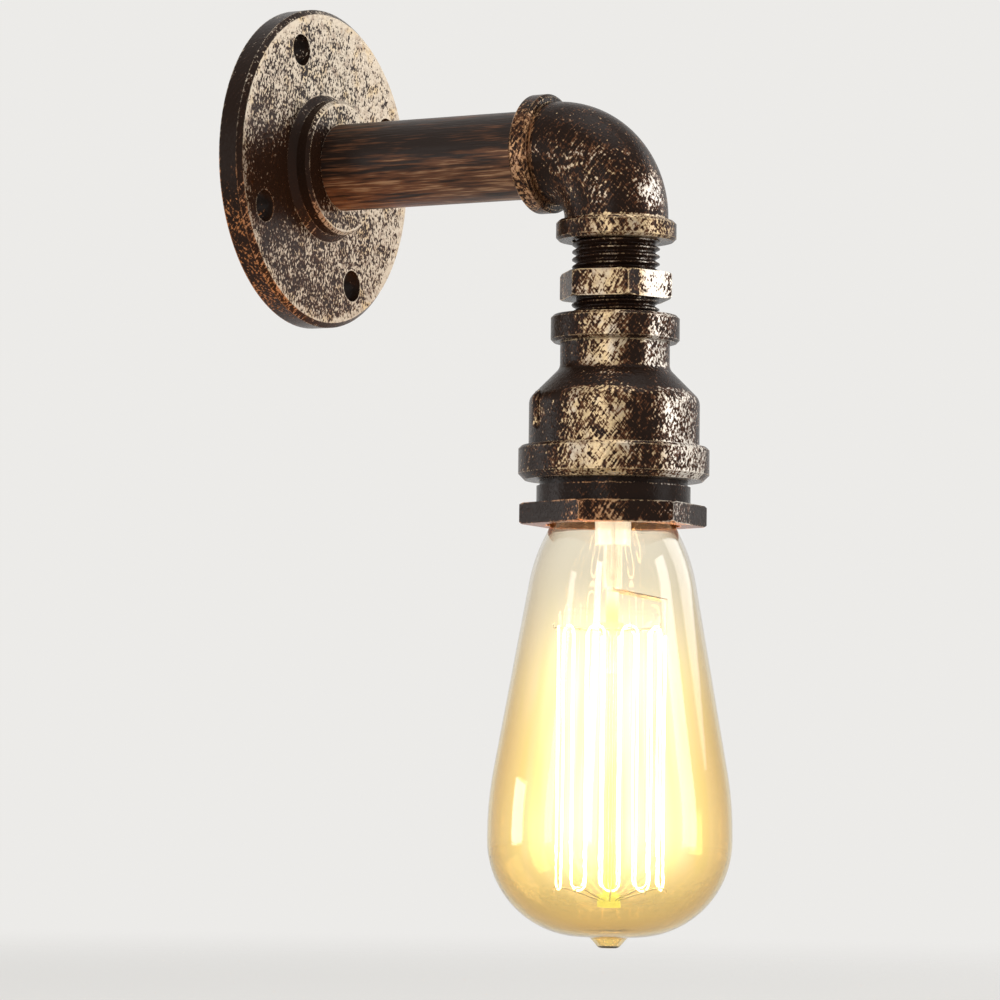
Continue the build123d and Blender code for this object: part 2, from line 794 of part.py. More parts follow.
# ---------------------------------------------------------------- bulb cap
with BuildPart() as bulb_cap:
    with BuildSketch(lamp_section):
        with BuildLine():
            Polyline(
                (cap_mouth, cap_start),
                (cap_core, cap_shoulder_drop),
                (cap_core, skirt_top),
                (cap_core + cap_rim_flare, skirt_top + cap_rim_flare),
                (cap_core + cap_rim_flare, cap_rim),
                (cap_bore + cap_rim_flare, cap_rim),
                (cap_bore + cap_rim_flare, skirt_top + cap_rim_flare),
                (cap_bore, skirt_top),
                (cap_bore, cap_shoulder_drop),
                (cap_mouth - cap_wall, cap_start + cap_wall),
                (cap_mouth - cap_wall, cap_start),
                close=True,
            )
        make_face()
    revolve(axis=lamp_axis)
    add_thread(cap_core, cap_crest, cap_screw_drop, cap_screw_turns)
bulb_cap.part.label = "bulb_cap"
export_step(bulb_cap.part, "parts/bulb_cap.step")

# ---------------------------------------------------------------- cap insulator and eyelet
eyelet_radius = eyelet_diameter / 2
with BuildPart() as cap_insulator:
    with BuildSketch(lamp_section):
        with BuildLine():
            Polyline(
                (lead_hole / 2, insulator_top),
                (eyelet_radius, insulator_top),
                (cap_mouth - cap_wall, cap_start),
                (cap_mouth - cap_wall, cap_start + insulator_depth),
                (lead_hole / 2, cap_start + insulator_depth),
                close=True,
            )
        make_face()
    revolve(axis=lamp_axis)
cap_insulator.part.label = "cap_insulator"
export_step(cap_insulator.part, "parts/cap_insulator.step")

with BuildPart() as bulb_eyelet:
    with BuildSketch(lamp_section):
        with BuildLine():
            Polyline(
                (0, bulb_seat),
                (eyelet_face / 2, bulb_seat),
                (eyelet_radius, insulator_top - eyelet_edge),
                (eyelet_radius, insulator_top),
                (0, insulator_top),
                close=True,
            )
        make_face()
    revolve(axis=lamp_axis)
bulb_eyelet.part.label = "bulb_eyelet"
export_step(bulb_eyelet.part, "parts/bulb_eyelet.step")

# ---------------------------------------------------------------- cap cement
with BuildPart() as cap_cement:
    with BuildSketch(at_drop(skirt_top)):
        Circle(cap_bore)
        Circle(glass_neck_radius, mode=Mode.SUBTRACT)
    extrude(amount=cement_width)
cap_cement.part.label = "cap_cement"
export_step(cap_cement.part, "parts/cap_cement.step")

# ---------------------------------------------------------------- stem
# A flared tube sealed into the neck, a flat press round the leads, and a rod with two buttons
stem_radius = stem_diameter / 2
rim_bottom = glass_neck_end + stem_rim
flare_bottom = rim_bottom + stem_flare_length
press_top = bulb_seat + press_start
press_bottom = bulb_seat + press_end
upper_button_top = bulb_seat + upper_button_at
lower_button_top = strand_bottom + lower_button_gap - button_height / 2
with BuildPart() as stem:
    with BuildSketch(lamp_section):
        with BuildLine():
            Polyline(
                (glass_neck_bore, glass_neck_end),
                (glass_neck_bore, rim_bottom),
                (stem_radius, flare_bottom),
                (stem_radius, press_top),
                (stem_radius - stem_wall, press_top),
                (stem_radius - stem_wall, flare_bottom),
                (glass_neck_bore - stem_wall, rim_bottom),
                (glass_neck_bore - stem_wall, glass_neck_end),
                close=True,
            )
        make_face()
    revolve(axis=lamp_axis)
    with BuildSketch(at_drop(press_bottom)):
        SlotOverall(press_width, press_thickness, rotation=lead_turn + 90)
    extrude(amount=press_bottom - press_top)
    with BuildSketch(at_drop(lower_button_top)):
        Circle(rod_diameter / 2)
    extrude(amount=lower_button_top - press_bottom)
    for button_top in (upper_button_top, lower_button_top):
        with BuildSketch(at_drop(button_top)):
            Circle(button_diameter / 2)
        extrude(amount=-button_height)
stem.part.label = "stem"
export_step(stem.part, "parts/stem.step")

# ---------------------------------------------------------------- filament
# One long filament hung up and down round a cage, with a half turn at every hook.
# The cage has a gap of one strand between its two ends, on the side of the leads.
first_strand = lead_turn + strand_angle / 2
wire_half = filament_thickness / 2


def radial_plane(angle, radius, drop):
    """A level plane with its local x pointing out from the lamp's axis."""
    turn = math.radians(angle)
    return Plane(
        origin=around_lamp(angle, radius, drop),
        x_dir=(math.cos(turn), math.sin(turn), 0),
        z_dir=(0, 0, 1),
    )


with BuildPart() as filament:
    for strand in range(strand_count):
        with BuildSketch(radial_plane(first_strand + strand * strand_angle, cage_radius, strand_bottom)):
            Rectangle(filament_thickness, filament_thickness)
        extrude(amount=strand_bottom - strand_top)
    for turn in range(strand_count - 1):
        is_lower = turn % 2 == 0
        turn_angle = first_strand + (turn + 0.5) * strand_angle
        turn_drop = strand_bottom if is_lower else strand_top
        turn_plane = radial_plane(turn_angle, turn_centre, turn_drop)
        with BuildSketch(turn_plane):
            with Locations((0, strand_gap / 2)):
                Rectangle(filament_thickness, filament_thickness)
        revolve(
            axis=Axis(turn_plane.origin, turn_plane.x_dir),
            revolution_arc=-180 if is_lower else 180,
        )
filament.part.label = "filament"
export_step(filament.part, "parts/filament.step")


# ---------------------------------------------------------------- filament hooks
def add_hook(angle, button_drop, arm_drop, tail_drop):
    """A support wire: out of its button, along to the cage, and turned at its end."""
    inner = button_diameter / 2 - hook_overhang
    elbow_radius = cage_radius - 2 * hook_overhang
    end_radius = turn_centre + wire_half + hook_overhang
    with BuildLine() as hook_line:
        Polyline(
            around_lamp(angle, inner, button_drop),
            around_lamp(angle, elbow_radius, arm_drop),
            around_lamp(angle, end_radius, arm_drop),
            around_lamp(angle, end_radius, tail_drop),
        )
    start = hook_line.edges().first
    turn = math.radians(angle)
    sideways = (-math.sin(turn), math.cos(turn), 0)
    with BuildSketch(Plane(origin=start @ 0, x_dir=sideways, z_dir=start % 0)) as wire:
        Rectangle(hook_thickness, hook_thickness)
    sweep(wire.sketch, path=hook_line.line, transition=Transition.RIGHT)


upper_arm_drop = strand_top - strand_gap / 2 + wire_half + hook_thickness / 2
lower_arm_drop = strand_bottom + strand_gap / 2 - wire_half - hook_thickness / 2
with BuildPart() as upper_hooks:
    for hook in range(lower_hook_count - 1):
        hook_angle = first_strand + (2 * hook + 1.5) * strand_angle
        add_hook(hook_angle, upper_arm_drop + hook_thickness, upper_arm_drop, upper_arm_drop - hook_tail)
upper_hooks.part.label = "upper_hooks"
export_step(upper_hooks.part, "parts/upper_hooks.step")

with BuildPart() as lower_hooks:
    for hook in range(lower_hook_count):
        hook_angle = first_strand + (2 * hook + 0.5) * strand_angle
        button_middle = lower_button_top + button_height / 2
        add_hook(hook_angle, button_middle, lower_arm_drop, lower_arm_drop + hook_tail)
lower_hooks.part.label = "lower_hooks"
export_step(lower_hooks.part, "parts/lower_hooks.step")

# ---------------------------------------------------------------- lead-in wires
# One runs down from the eyelet, the other from the side of the cap, both through the press
# to the two ends of the filament
lead_side = lead_turn + 90
lead_exit = lead_spread / 2
lead_elbow = press_bottom + lead_elbow_drop
last_strand = first_strand + (strand_count - 1) * strand_angle
tube_mouth = glass_neck_end - stem_rim
with BuildPart() as lead_in_wires:
    for sign, filament_end in ((1, first_strand), (-1, last_strand)):
        side_angle = lead_side if sign > 0 else lead_side + 180
        if sign > 0:
            top_points = [lamp_point(0, 0, insulator_top), lamp_point(0, 0, flare_bottom)]
        else:
            top_points = [
                around_lamp(side_angle, cap_bore, tube_mouth),
                around_lamp(side_angle, lead_exit, tube_mouth),
            ]
        with BuildLine() as lead_line:
            Polyline(
                *top_points,
                around_lamp(side_angle, lead_exit, press_top),
                around_lamp(side_angle, lead_exit, press_bottom + lead_thickness),
                around_lamp(filament_end, cage_radius, lead_elbow),
                around_lamp(filament_end, cage_radius, strand_top),
            )
        start = lead_line.edges().first
        with BuildSketch(Plane(origin=start @ 0, z_dir=start % 0)):
            Rectangle(lead_thickness, lead_thickness)
        sweep(path=lead_line.line, transition=Transition.RIGHT)
lead_in_wires.part.label = "lead_in_wires"
export_step(lead_in_wires.part, "parts/lead_in_wires.step")
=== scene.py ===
import math
import random

import bpy
from mathutils import Matrix, Vector


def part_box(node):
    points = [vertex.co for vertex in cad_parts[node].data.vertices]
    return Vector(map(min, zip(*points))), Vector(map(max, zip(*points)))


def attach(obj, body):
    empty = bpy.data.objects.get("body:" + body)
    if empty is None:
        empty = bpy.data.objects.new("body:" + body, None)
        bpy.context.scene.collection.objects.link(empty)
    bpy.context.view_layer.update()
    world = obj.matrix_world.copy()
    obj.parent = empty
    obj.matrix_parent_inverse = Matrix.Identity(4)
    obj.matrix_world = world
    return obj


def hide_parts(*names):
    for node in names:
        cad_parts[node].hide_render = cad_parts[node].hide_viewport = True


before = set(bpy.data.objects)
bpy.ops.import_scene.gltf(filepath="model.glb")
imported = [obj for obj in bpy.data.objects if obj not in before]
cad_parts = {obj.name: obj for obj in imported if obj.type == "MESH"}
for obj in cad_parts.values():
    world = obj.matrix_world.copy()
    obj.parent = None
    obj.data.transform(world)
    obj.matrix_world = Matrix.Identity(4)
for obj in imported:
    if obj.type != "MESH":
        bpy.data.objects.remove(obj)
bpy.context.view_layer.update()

bl_info = {
    "name": "Industrial pipe wall light",
    "version": (1, 0, 0),
    "blender": (4, 5, 0),
    "location": "3D View > Sidebar > Wall Light",
    "description": "Finishes the metal, the wiring and the filament bulb of a pipe wall light",
    "category": "Object",
}

# The wall is the plane Y = 0, the arm runs along -Y, and the lamp hangs along -Z from its end.
# A "drop" is a distance down the lamp's axis, from the arm's axis. Sizes are in metres, but
# the finishes measure places and blots in millimetres.
MM = 0.001
ARM_REACH = 87.6  # millimetres from the wall to the lamp's axis

# Directions round the lamp's axis, in degrees, in which the castings' paint changes, with painted
# highlights, a painted glint, painted shade and a painted warm glow.
FRONT_HIGHLIGHT = 194
SIDE_HIGHLIGHT = 258
GLINT_COLUMN = 264
SHADE_COLUMN = 156
COPPER_AND_GLOW_SIDE = 165
ELBOW_FRONT = 230

PALE_ROOM = (0.84, 0.83, 0.81)


# ---------------------------------------------------------------- sizes and colours
LENGTH = {"subtype": "DISTANCE", "unit": "LENGTH"}
ANGLE = {"subtype": "ANGLE", "unit": "ROTATION"}

# Name, azimuth and elevation in degrees, width and height in metres, and power in watts.
SOFT_LAMPS = (
    ("right_strip", 288, 8, 0.38, 1.0, 5.0),
    ("left_strip", 189, 12, 0.18, 1.0, 3.5),
    ("face_lamp", 331, 24, 0.7, 0.7, 2.8),
    ("top_lamp", 250, 80, 0.9, 0.9, 6.0),
    ("rim_strip", 150, 6, 0.18, 0.8, 1.6),
    ("back_strip", 112, -1, 0.34, 0.36, 2.4),
)


class LampSizes(bpy.types.PropertyGroup):
    """Sizes that the pieces made here share with the fittings."""

    arm_reach: bpy.props.FloatProperty(
        name="Arm reach", description="Distance of the lamp's axis from the wall",
        default=ARM_REACH * MM, **LENGTH)
    nipple_top: bpy.props.FloatProperty(
        name="Nipple top", description="Drop of the nipple's upper end, inside the elbow",
        default=-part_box("hex_nipple")[1].z, **LENGTH)
    nipple_bottom: bpy.props.FloatProperty(
        name="Nipple bottom", description="Drop of the nipple's lower end, inside the reducer",
        default=-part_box("hex_nipple")[0].z, **LENGTH)
    hex_top: bpy.props.FloatProperty(
        name="Hexagon top", description="Drop of the top of the nipple's hexagon",
        default=29.8 * MM, **LENGTH)
    hex_bottom: bpy.props.FloatProperty(
        name="Hexagon bottom", description="Drop of the bottom of the nipple's hexagon",
        default=36.1 * MM, **LENGTH)
    hex_flats: bpy.props.FloatProperty(
        name="Hexagon width", description="Width across the flats of the nipple's hexagon",
        default=24.2 * MM, **LENGTH)
    hex_turn: bpy.props.FloatProperty(
        name="Hexagon turn", description="Direction that one flat of the nipple's hexagon faces",
        default=math.radians(11), **ANGLE)
    thread_diameter: bpy.props.FloatProperty(
        name="Thread diameter", description="Diameter over the crests of the pipe thread",
        default=20.96 * MM, **LENGTH)
    thread_pitch: bpy.props.FloatProperty(
        name="Thread pitch", description="Rise of the pipe thread in one turn",
        default=1.814 * MM, **LENGTH)
    thread_depth: bpy.props.FloatProperty(
        name="Thread depth", description="Depth of the pipe thread, from crest to root",
        default=1.1 * MM, **LENGTH)
    nipple_bore: bpy.props.FloatProperty(
        name="Nipple bore", description="Diameter of the hole through the nipple",
        default=15.0 * MM, **LENGTH)
    rib_turn: bpy.props.FloatProperty(
        name="Rib turn", description="Direction of one of the bell's two ribs",
        default=math.radians(143), **ANGLE)
    rib_height: bpy.props.FloatProperty(
        name="Rib height", description="How far the ribs stand out from the bell",
        default=1.0 * MM, **LENGTH)


class FilamentSizes(bpy.types.PropertyGroup):
    """Sizes of the filament and of the wires that hold it."""

    strands: bpy.props.IntProperty(
        name="Strands", description="How many times the filament runs up or down", default=20)
    cage_radius: bpy.props.FloatProperty(
        name="Cage radius", description="Radius of the cylinder that the strands stand on",
        default=12.8 * MM, **LENGTH)
    first_strand: bpy.props.FloatProperty(
        name="First strand", description="Direction of the filament's first strand",
        default=math.radians(-51), **ANGLE)
    top: bpy.props.FloatProperty(
        name="Top", description="Drop of the strands' upper ends",
        default=116.0 * MM, **LENGTH)
    bottom: bpy.props.FloatProperty(
        name="Bottom", description="Drop of the strands' lower ends",
        default=174.0 * MM, **LENGTH)
    thread: bpy.props.FloatProperty(
        name="Thread", description="Diameter of the filament",
        default=0.5 * MM, **LENGTH)
    sway: bpy.props.FloatProperty(
        name="Sway", description="How far a strand strays sideways at its middle",
        default=0.3 * MM, **LENGTH)
    hook: bpy.props.FloatProperty(
        name="Hook wire", description="Diameter of the wires that hold the filament",
        default=0.4 * MM, **LENGTH)


class MetalColours(bpy.types.PropertyGroup):
    """Colours of the painted and brushed metal."""

    iron: bpy.props.FloatVectorProperty(
        name="Iron", description="Black paint in the hollows of the castings",
        default=(0.016, 0.008, 0.005), subtype="COLOR")
    umber: bpy.props.FloatVectorProperty(
        name="Umber", description="Brown that shows where the black is thin",
        default=(0.115, 0.045, 0.020), subtype="COLOR")
    gold: bpy.props.FloatVectorProperty(
        name="Gold", description="Pale gold brushed over the high places",
        default=(0.50, 0.37, 0.21), subtype="COLOR")
    silver: bpy.props.FloatVectorProperty(
        name="Silver", description="Pale silver that the gold fades to",
        default=(0.46, 0.40, 0.33), subtype="COLOR")
    bronze: bpy.props.FloatVectorProperty(
        name="Bronze", description="Bronze streaks along the pipe",
        default=(0.33, 0.185, 0.10), subtype="COLOR")
    # Copper on the flange's rim and the bushing is partly a painted warm glow from the bulb.
    copper: bpy.props.FloatVectorProperty(
        name="Copper", description="Copper brown on the flange's rim and the bushing",
        default=(0.42, 0.17, 0.065), subtype="COLOR")
    # A painted glint: pale silver laid where the lamps glint on the castings.
    painted_glint: bpy.props.FloatVectorProperty(
        name="Shine", description="Bare silver where the castings are worn most",
        default=(0.68, 0.64, 0.58), subtype="COLOR")
    brass: bpy.props.FloatVectorProperty(
        name="Brass", description="Pressed brass of the cap, shell and terminals",
        default=(0.80, 0.60, 0.28), subtype="COLOR")


class BulbColours(bpy.types.PropertyGroup):
    """Colours of the bulb and its light."""

    amber: bpy.props.FloatVectorProperty(
        name="Amber", description="Tint of the glass near its tip",
        default=(0.95, 0.79, 0.45), subtype="COLOR")
    clear: bpy.props.FloatVectorProperty(
        name="Clear", description="Tint of the glass near its neck",
        default=(0.97, 0.93, 0.83), subtype="COLOR")
    rim: bpy.props.FloatVectorProperty(
        name="Rim", description="Deeper tint where the glass is seen edge on",
        default=(0.62, 0.42, 0.13), subtype="COLOR")
    smoke: bpy.props.FloatVectorProperty(
        name="Smoke", description="Grey tint of the neck where it is seen edge on",
        default=(0.62, 0.55, 0.44), subtype="COLOR")
    glow: bpy.props.FloatVectorProperty(
        name="Glow", description="Light of the lit filament",
        default=(1.0, 0.90, 0.80), subtype="COLOR")
    # The rod colour is also the painted glow of the stem and of the glass round the filament.
    rod: bpy.props.FloatVectorProperty(
        name="Rod", description="Yellow-green of the glass rod in the light",
        default=(0.80, 0.88, 0.30), subtype="COLOR")
    light: bpy.props.FloatProperty(
        name="Light", description="Strength of the filament's light", default=7.0)


class StageSettings(bpy.types.PropertyGroup):
    """Floor, lamps and camera."""

    floor_drop: bpy.props.FloatProperty(
        name="Floor", description="Drop of the floor below the arm's axis",
        default=0.216, **LENGTH)
    lens: bpy.props.FloatProperty(
        name="Lens", description="Focal length in millimetres on a 36 mm frame", default=165.74)
    azimuth: bpy.props.FloatProperty(
        name="Azimuth", description="Direction of the camera round the light",
        default=math.radians(-60.18), **ANGLE)
    elevation: bpy.props.FloatProperty(
        name="Elevation", description="Height of the camera, as an angle",
        default=math.radians(-3.85), **ANGLE)
    roll: bpy.props.FloatProperty(
        name="Roll", description="Turn of the camera about its own axis",
        default=math.radians(0.7), **ANGLE)
    distance: bpy.props.FloatProperty(
        name="Distance", description="Distance of the camera from what it looks at",
        default=1.1064, **LENGTH)


# ---------------------------------------------------------------- materials
class Level:
    """One output of a finish's nodes, so that sums can be written with it."""

    def __init__(self, finish, output):
        self.finish = finish
        self.output = output

    def maths(self, operation, first, second):
        return self.finish.node("ShaderNodeMath", {"operation": operation}, {0: first, 1: second})

    def __add__(self, other):
        return self.maths("ADD", self, other)

    __radd__ = __add__

    def __sub__(self, other):
        return self.maths("SUBTRACT", self, other)

    def __rsub__(self, other):
        return self.maths("SUBTRACT", other, self)

    def __mul__(self, other):
        return self.maths("MULTIPLY", self, other)

    __rmul__ = __mul__


class Finish:
    """A material that is being made: its nodes, and the shader that they feed."""

    def __init__(self, name, **constants):
        self.material = bpy.data.materials.new(name)
        self.material.use_nodes = True
        self.tree = self.material.node_tree
        self.shader = self.tree.nodes["Principled BSDF"]
        self.surface = self.tree.nodes["Material Output"].inputs["Surface"]
        for socket, value in constants.items():
            self.shader.inputs[socket.replace("_", " ")].default_value = value

    def node(self, kind, settings, values, output=0):
        """Adds a node, sets it, fills its sockets, and gives one of its outputs."""
        node = self.tree.nodes.new(kind)
        for name, value in settings.items():
            setattr(node, name, value)
        for name, value in values.items():
            self.fill(node.inputs[name], value)
        return Level(self, node.outputs[output])

    def fill(self, socket, value):
        """Links a level to a socket, or sets a number or colour on it."""
        if isinstance(value, Level):
            self.tree.links.new(value.output, socket)
        elif socket.type == "RGBA" and len(value) == 3:
            socket.default_value = (*value, 1)
        else:
            socket.default_value = value

    def feed(self, **levels):
        """Links levels to the shader's own sockets."""
        for socket, level in levels.items():
            self.fill(self.shader.inputs[socket.replace("_", " ")], level)

    def vector(self, operation, *vectors):
        """Vector maths, which gives a number where it measures and a vector otherwise."""
        output = "Value" if operation in ("DISTANCE", "DOT_PRODUCT", "LENGTH") else "Vector"
        settings = {"operation": operation}
        return self.node("ShaderNodeVectorMath", settings, dict(enumerate(vectors)), output)

    def place(self, stretch=(1, 1, 1)):
        """Where a point lies in the light, in millimetres, stretched along each axis."""
        point = self.node("ShaderNodeTexCoord", {}, {}, "Object")
        return self.vector("MULTIPLY", point, tuple(1 / MM * share for share in stretch))

    def parts(self, vector):
        """The x, y and z of a vector."""
        split = self.node("ShaderNodeSeparateXYZ", {}, {0: vector})
        return [Level(self, output) for output in split.output.node.outputs]

    def drop(self, point):
        """How far a point lies below the arm's axis."""
        return 0 - self.parts(point)[2]

    def normal(self):
        """Which way the surface faces."""
        return self.node("ShaderNodeNewGeometry", {}, {}, "Normal")

    def noise(self, vector, size, detail=3.0, rough=0.6):
        """Cloudy noise whose blots are about that many millimetres across."""
        return self.node(
            "ShaderNodeTexNoise", {},
            {"Vector": vector, "Scale": 1 / size, "Detail": detail, "Roughness": rough})

    def ease(self, level, low, high):
        """0 below low and 1 above high, with a soft passage between them."""
        return self.node(
            "ShaderNodeMapRange", {"interpolation_type": "SMOOTHSTEP"},
            {"Value": level, "From Min": low, "From Max": high})

    def blend(self, share, first, second):
        """A colour that goes from first to second."""
        mixed = self.node("ShaderNodeMix", {"data_type": "RGBA"}, {0: share, 6: first, 7: second})
        return Level(self, mixed.output.node.outputs[2])

    def strokes_at(self, lean, stretch):
        """Where a point lies, stretched along a line that leans that far, in radians, from upright."""
        turned = self.node(
            "ShaderNodeVectorRotate", {"rotation_type": "AXIS_ANGLE"},
            {"Vector": self.place(), "Axis": (-0.87, -0.5, 0.0), "Angle": lean})
        return self.vector("MULTIPLY", turned, stretch)

    def strokes(self, lean, size):
        """Short brush strokes that lean that far from upright, seen from the front."""
        return self.noise(self.strokes_at(lean, (1.0, 1.0, 0.2)), size, 2, 0.55)

    def facing(self, vector, azimuth, low, high):
        """1 where a unit vector points in that direction, in degrees, and 0 well away from it."""
        turn = math.radians(azimuth)
        match = self.vector("DOT_PRODUCT", vector, (math.cos(turn), math.sin(turn), 0.0))
        return self.ease(match, low, high)

    def near(self, point, centre, inner, outer):
        """1 within inner of a centre, and 0 beyond outer."""
        return 1 - self.ease(self.vector("DISTANCE", point, centre), inner, outer)

    def edges(self, radius):
        """1 on a sharp edge and 0 on a plain face."""
        rounded = self.node("ShaderNodeBevel", {"samples": 6}, {"Radius": radius})
        match = self.vector("DOT_PRODUCT", rounded, self.normal())
        return self.ease(1 - match, 0.01, 0.16)

    def relief(self, height, depth, strength=1.0):
        """Bumps of a finish, from a level that goes from 0 to 1."""
        self.feed(Normal=self.node(
            "ShaderNodeBump", {}, {"Height": height, "Distance": depth, "Strength": strength}))


def paint(finish, *nodes):
    """Gives CAD nodes a finish."""
    for name in nodes:
        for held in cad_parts[name].material_slots:
            held.material = finish.material


def add_piece(name, data, body, finish, replaces=()):
    """Puts a new mesh or curve on a body, in its finish."""
    piece = bpy.data.objects.new(name, data)
    bpy.context.scene.collection.objects.link(piece)
    data.materials.append(finish.material)
    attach(piece, body)
    if replaces:
        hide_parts(*replaces)
    return piece


# On some castings cover also paints highlights and shade, and some tints are painted glints or a
# painted warm glow.
def brushed_iron(name, colours, cover, fade=0.48, warmth=1.0, tints=()):
    """Black cast iron, brushed with pale gold that holds on grains and edges.

    cover gives how thick the gold lies, fade is where it starts to turn silver, and warmth is how
    brown the thin paint is. Each tint is a function that gives its share of the gold, and a colour.
    """
    finish = Finish(name, Specular_IOR_Level=0.07)
    point = finish.place()
    grain = finish.noise(point, 0.6, 2, 0.5)
    cloud = finish.noise(point, 5.0, 3, 0.55)
    tarnish = finish.noise(point, 2.2, 3, 0.6)
    hatch = (finish.strokes(0.6, 0.58) - 0.5) * 1.6 + (finish.strokes(-0.7, 0.52) - 0.5) * 1.2
    speckle = (grain - 0.5) * 0.7 + hatch + 0.5
    edge = finish.edges(0.7 * MM)
    reach = speckle + (cloud - 0.5) * 0.7 + edge * 0.5 + cover(finish, point)
    brown = finish.ease(reach + (tarnish - 0.5) * 0.6, 0.24, 0.62)
    gilt = finish.ease(reach, 0.50, 0.74)
    under = finish.blend(brown * warmth, colours.iron, colours.umber)
    pale = finish.ease(cloud, fade, fade + 0.28) * 0.8
    leaf = finish.blend(pale, colours.gold, colours.silver)
    leaf = finish.blend(finish.ease(tarnish, 0.48, 0.78) * 0.6, leaf, colours.umber)
    for share, colour in tints:
        leaf = finish.blend(share(finish, point), leaf, colour)
    finish.feed(
        Base_Color=finish.blend(gilt, under, leaf),
        Metallic=gilt * 0.85,
        Roughness=0.23 + gilt * 0.13 + (grain - 0.5) * 0.25)
    finish.relief(speckle * 0.25 + tarnish * 0.3, 0.25 * MM)
    return finish


def from_axis(finish, point):
    """Which way and how far out a point lies from the lamp's axis, in millimetres."""
    offset = finish.vector("SUBTRACT", point, (0.0, -ARM_REACH, 0.0))
    return finish.vector("MULTIPLY", offset, (1.0, 1.0, 0.0))


def around_axis(finish, point):
    """Which way a point lies from the lamp's axis, as a unit vector."""
    return finish.vector("NORMALIZE", from_axis(finish, point))


def painted_light_columns(finish, point):
    """Painted highlights of gold in two columns down the lamp, and painted shade with hardly any gold
    between them and the wall.
    """
    around = around_axis(finish, point)
    front = finish.facing(around, FRONT_HIGHLIGHT, 0.84, 0.99)
    side = finish.facing(around, SIDE_HIGHLIGHT, 0.88, 0.99)
    dark = finish.facing(around, SHADE_COLUMN, 0.72, 0.98)
    return front * 0.40 + side * 0.30 - dark * 0.14 - 0.27


def painted_glint_column(finish, point):
    """A painted glint of silver down the side of the lamp that faces away from the wall."""
    return finish.facing(around_axis(finish, point), GLINT_COLUMN, 0.86, 0.98) * 0.8


def from_steps(finish, point, *steps):
    """A level that changes by so much at each drop: steps of start, end and change."""
    drop = finish.drop(point)
    level = 0.0
    for start, end, change in steps:
        level = finish.ease(drop, start, end) * change + level
    return level


# ---------------------------------------------------------------- where the castings are gilt
# Each function tells how thick the gold or a tint lies at a point; some paint highlights, glints, shade
# or a warm glow. Places are in millimetres.
def on_rim(finish):
    """1 where a surface faces neither the wall nor the room."""
    y = finish.parts(finish.normal())[1]
    return 1 - finish.ease(y * y, 0.36, 0.9)


def on_flange(finish, point):
    """Thick on the face, most towards its upper right as a painted light gradient, with painted shadow
    beside the boss, and thin on the rim and the boss.
    """
    x, y, z = finish.parts(point)
    face = finish.facing(finish.normal(), -90, 0.6, 0.95)
    # Painted shadow: two dark patches on and left of the boss, where the boss and the pipe shade the
    # face.
    shade = finish.near(point, (-24.0, -7.0, -6.0), 5.0, 17.0) * 0.7
    shade = shade + finish.near(point, (-12.0, -12.0, 0.0), 5.0, 14.0)
    # Copper on the lower left of the rim, partly real colour and partly a painted warm glow from the
    # bulb below.
    rust_and_glow = finish.near(point, (-28.0, -3.0, -26.0), 12.0, 30.0) * on_rim(finish)
    flat = finish.node("ShaderNodeCombineXYZ", {}, {0: x, 1: 0.0, 2: z})
    out = finish.vector("LENGTH", flat)
    lip = finish.ease(out, 15.2, 15.7) * finish.ease(0 - y, 9.9, 10.3) * 0.5
    border = finish.ease(out, 35.0, 38.0) * face * 0.3
    broad = finish.noise(finish.strokes_at(1.1, (1.0, 1.0, 0.12)), 2.4, 3, 0.6)
    sweep = finish.ease(broad, 0.54, 0.66) * finish.ease(x + z, -10.0, 25.0) * 0.3
    # worn is edge wear and the rim's copper, which is partly a painted warm glow.
    worn = lip + border + rust_and_glow * 0.5
    # (x + z) * 0.0040 is a painted light gradient, brighter towards the upper right.
    return face * 0.48 + (x + z) * 0.0040 - shade * 0.5 + worn - sweep - 0.38


def on_flange_rim_copper_and_glow(finish, point):
    """Low on the rim, on the side that the photograph shows: copper, partly a painted warm glow from
    the bulb below.
    """
    return finish.near(point, (-30.0, -3.0, -26.0), 20.0, 34.0) * on_rim(finish)


def on_elbow_band(finish, point):
    """On the band round the pipe, on the side that the photograph shows."""
    y = finish.parts(point)[1]
    band = finish.ease(y, -71.4, -70.8)
    return finish.near(point, (-13.0, -66.0, -5.0), 11.0, 19.0) * band


def on_elbow_copper(finish, point):
    """Thinner, on the same part of the band."""
    return on_elbow_band(finish, point) * 0.6


def on_elbow_painted_glint(finish, point):
    """A painted glint low on the bend's outer side."""
    return finish.near(point, (-2.2, -99.8, -11.0), 1.0, 9.0)


def on_elbow(finish, point):
    """Thick low on the outer side of the bend and on the bands."""
    patch = finish.near(point, (-14.0, -86.0, -8.0), 5.0, 17.0)
    glint = on_elbow_painted_glint(finish, point)
    band = on_elbow_band(finish, point)
    foot = from_steps(finish, point, (16.4, 16.8, 0.44))
    foot = foot * finish.facing(around_axis(finish, point), ELBOW_FRONT, 0.4, 0.9)
    return patch * 0.18 + glint * 0.5 + band * 0.36 + foot - 0.36


def on_bell(finish, point):
    """As the painted highlight columns, with a dark upper band, a dark cone and a bright lower band."""
    neck, cone = (46.2, 46.8, 0.10), (52.2, 53.4, -0.42)
    barrel, lower_band = (57.6, 58.4, 0.38), (71.0, 71.6, 0.06)
    rings = from_steps(finish, point, neck, cone, barrel, lower_band)
    rib = finish.near(point, (-16.8, -75.0, -63.4), 3.0, 5.0)
    return painted_light_columns(finish, point) + rings + rib * 0.3 - 0.06


def on_bushing(finish, point):
    """Bare on the neck, and thin on the hexagon."""
    hexagon = from_steps(finish, point, (84.4, 84.9, 0.32))
    return painted_light_columns(finish, point) + hexagon - 0.52


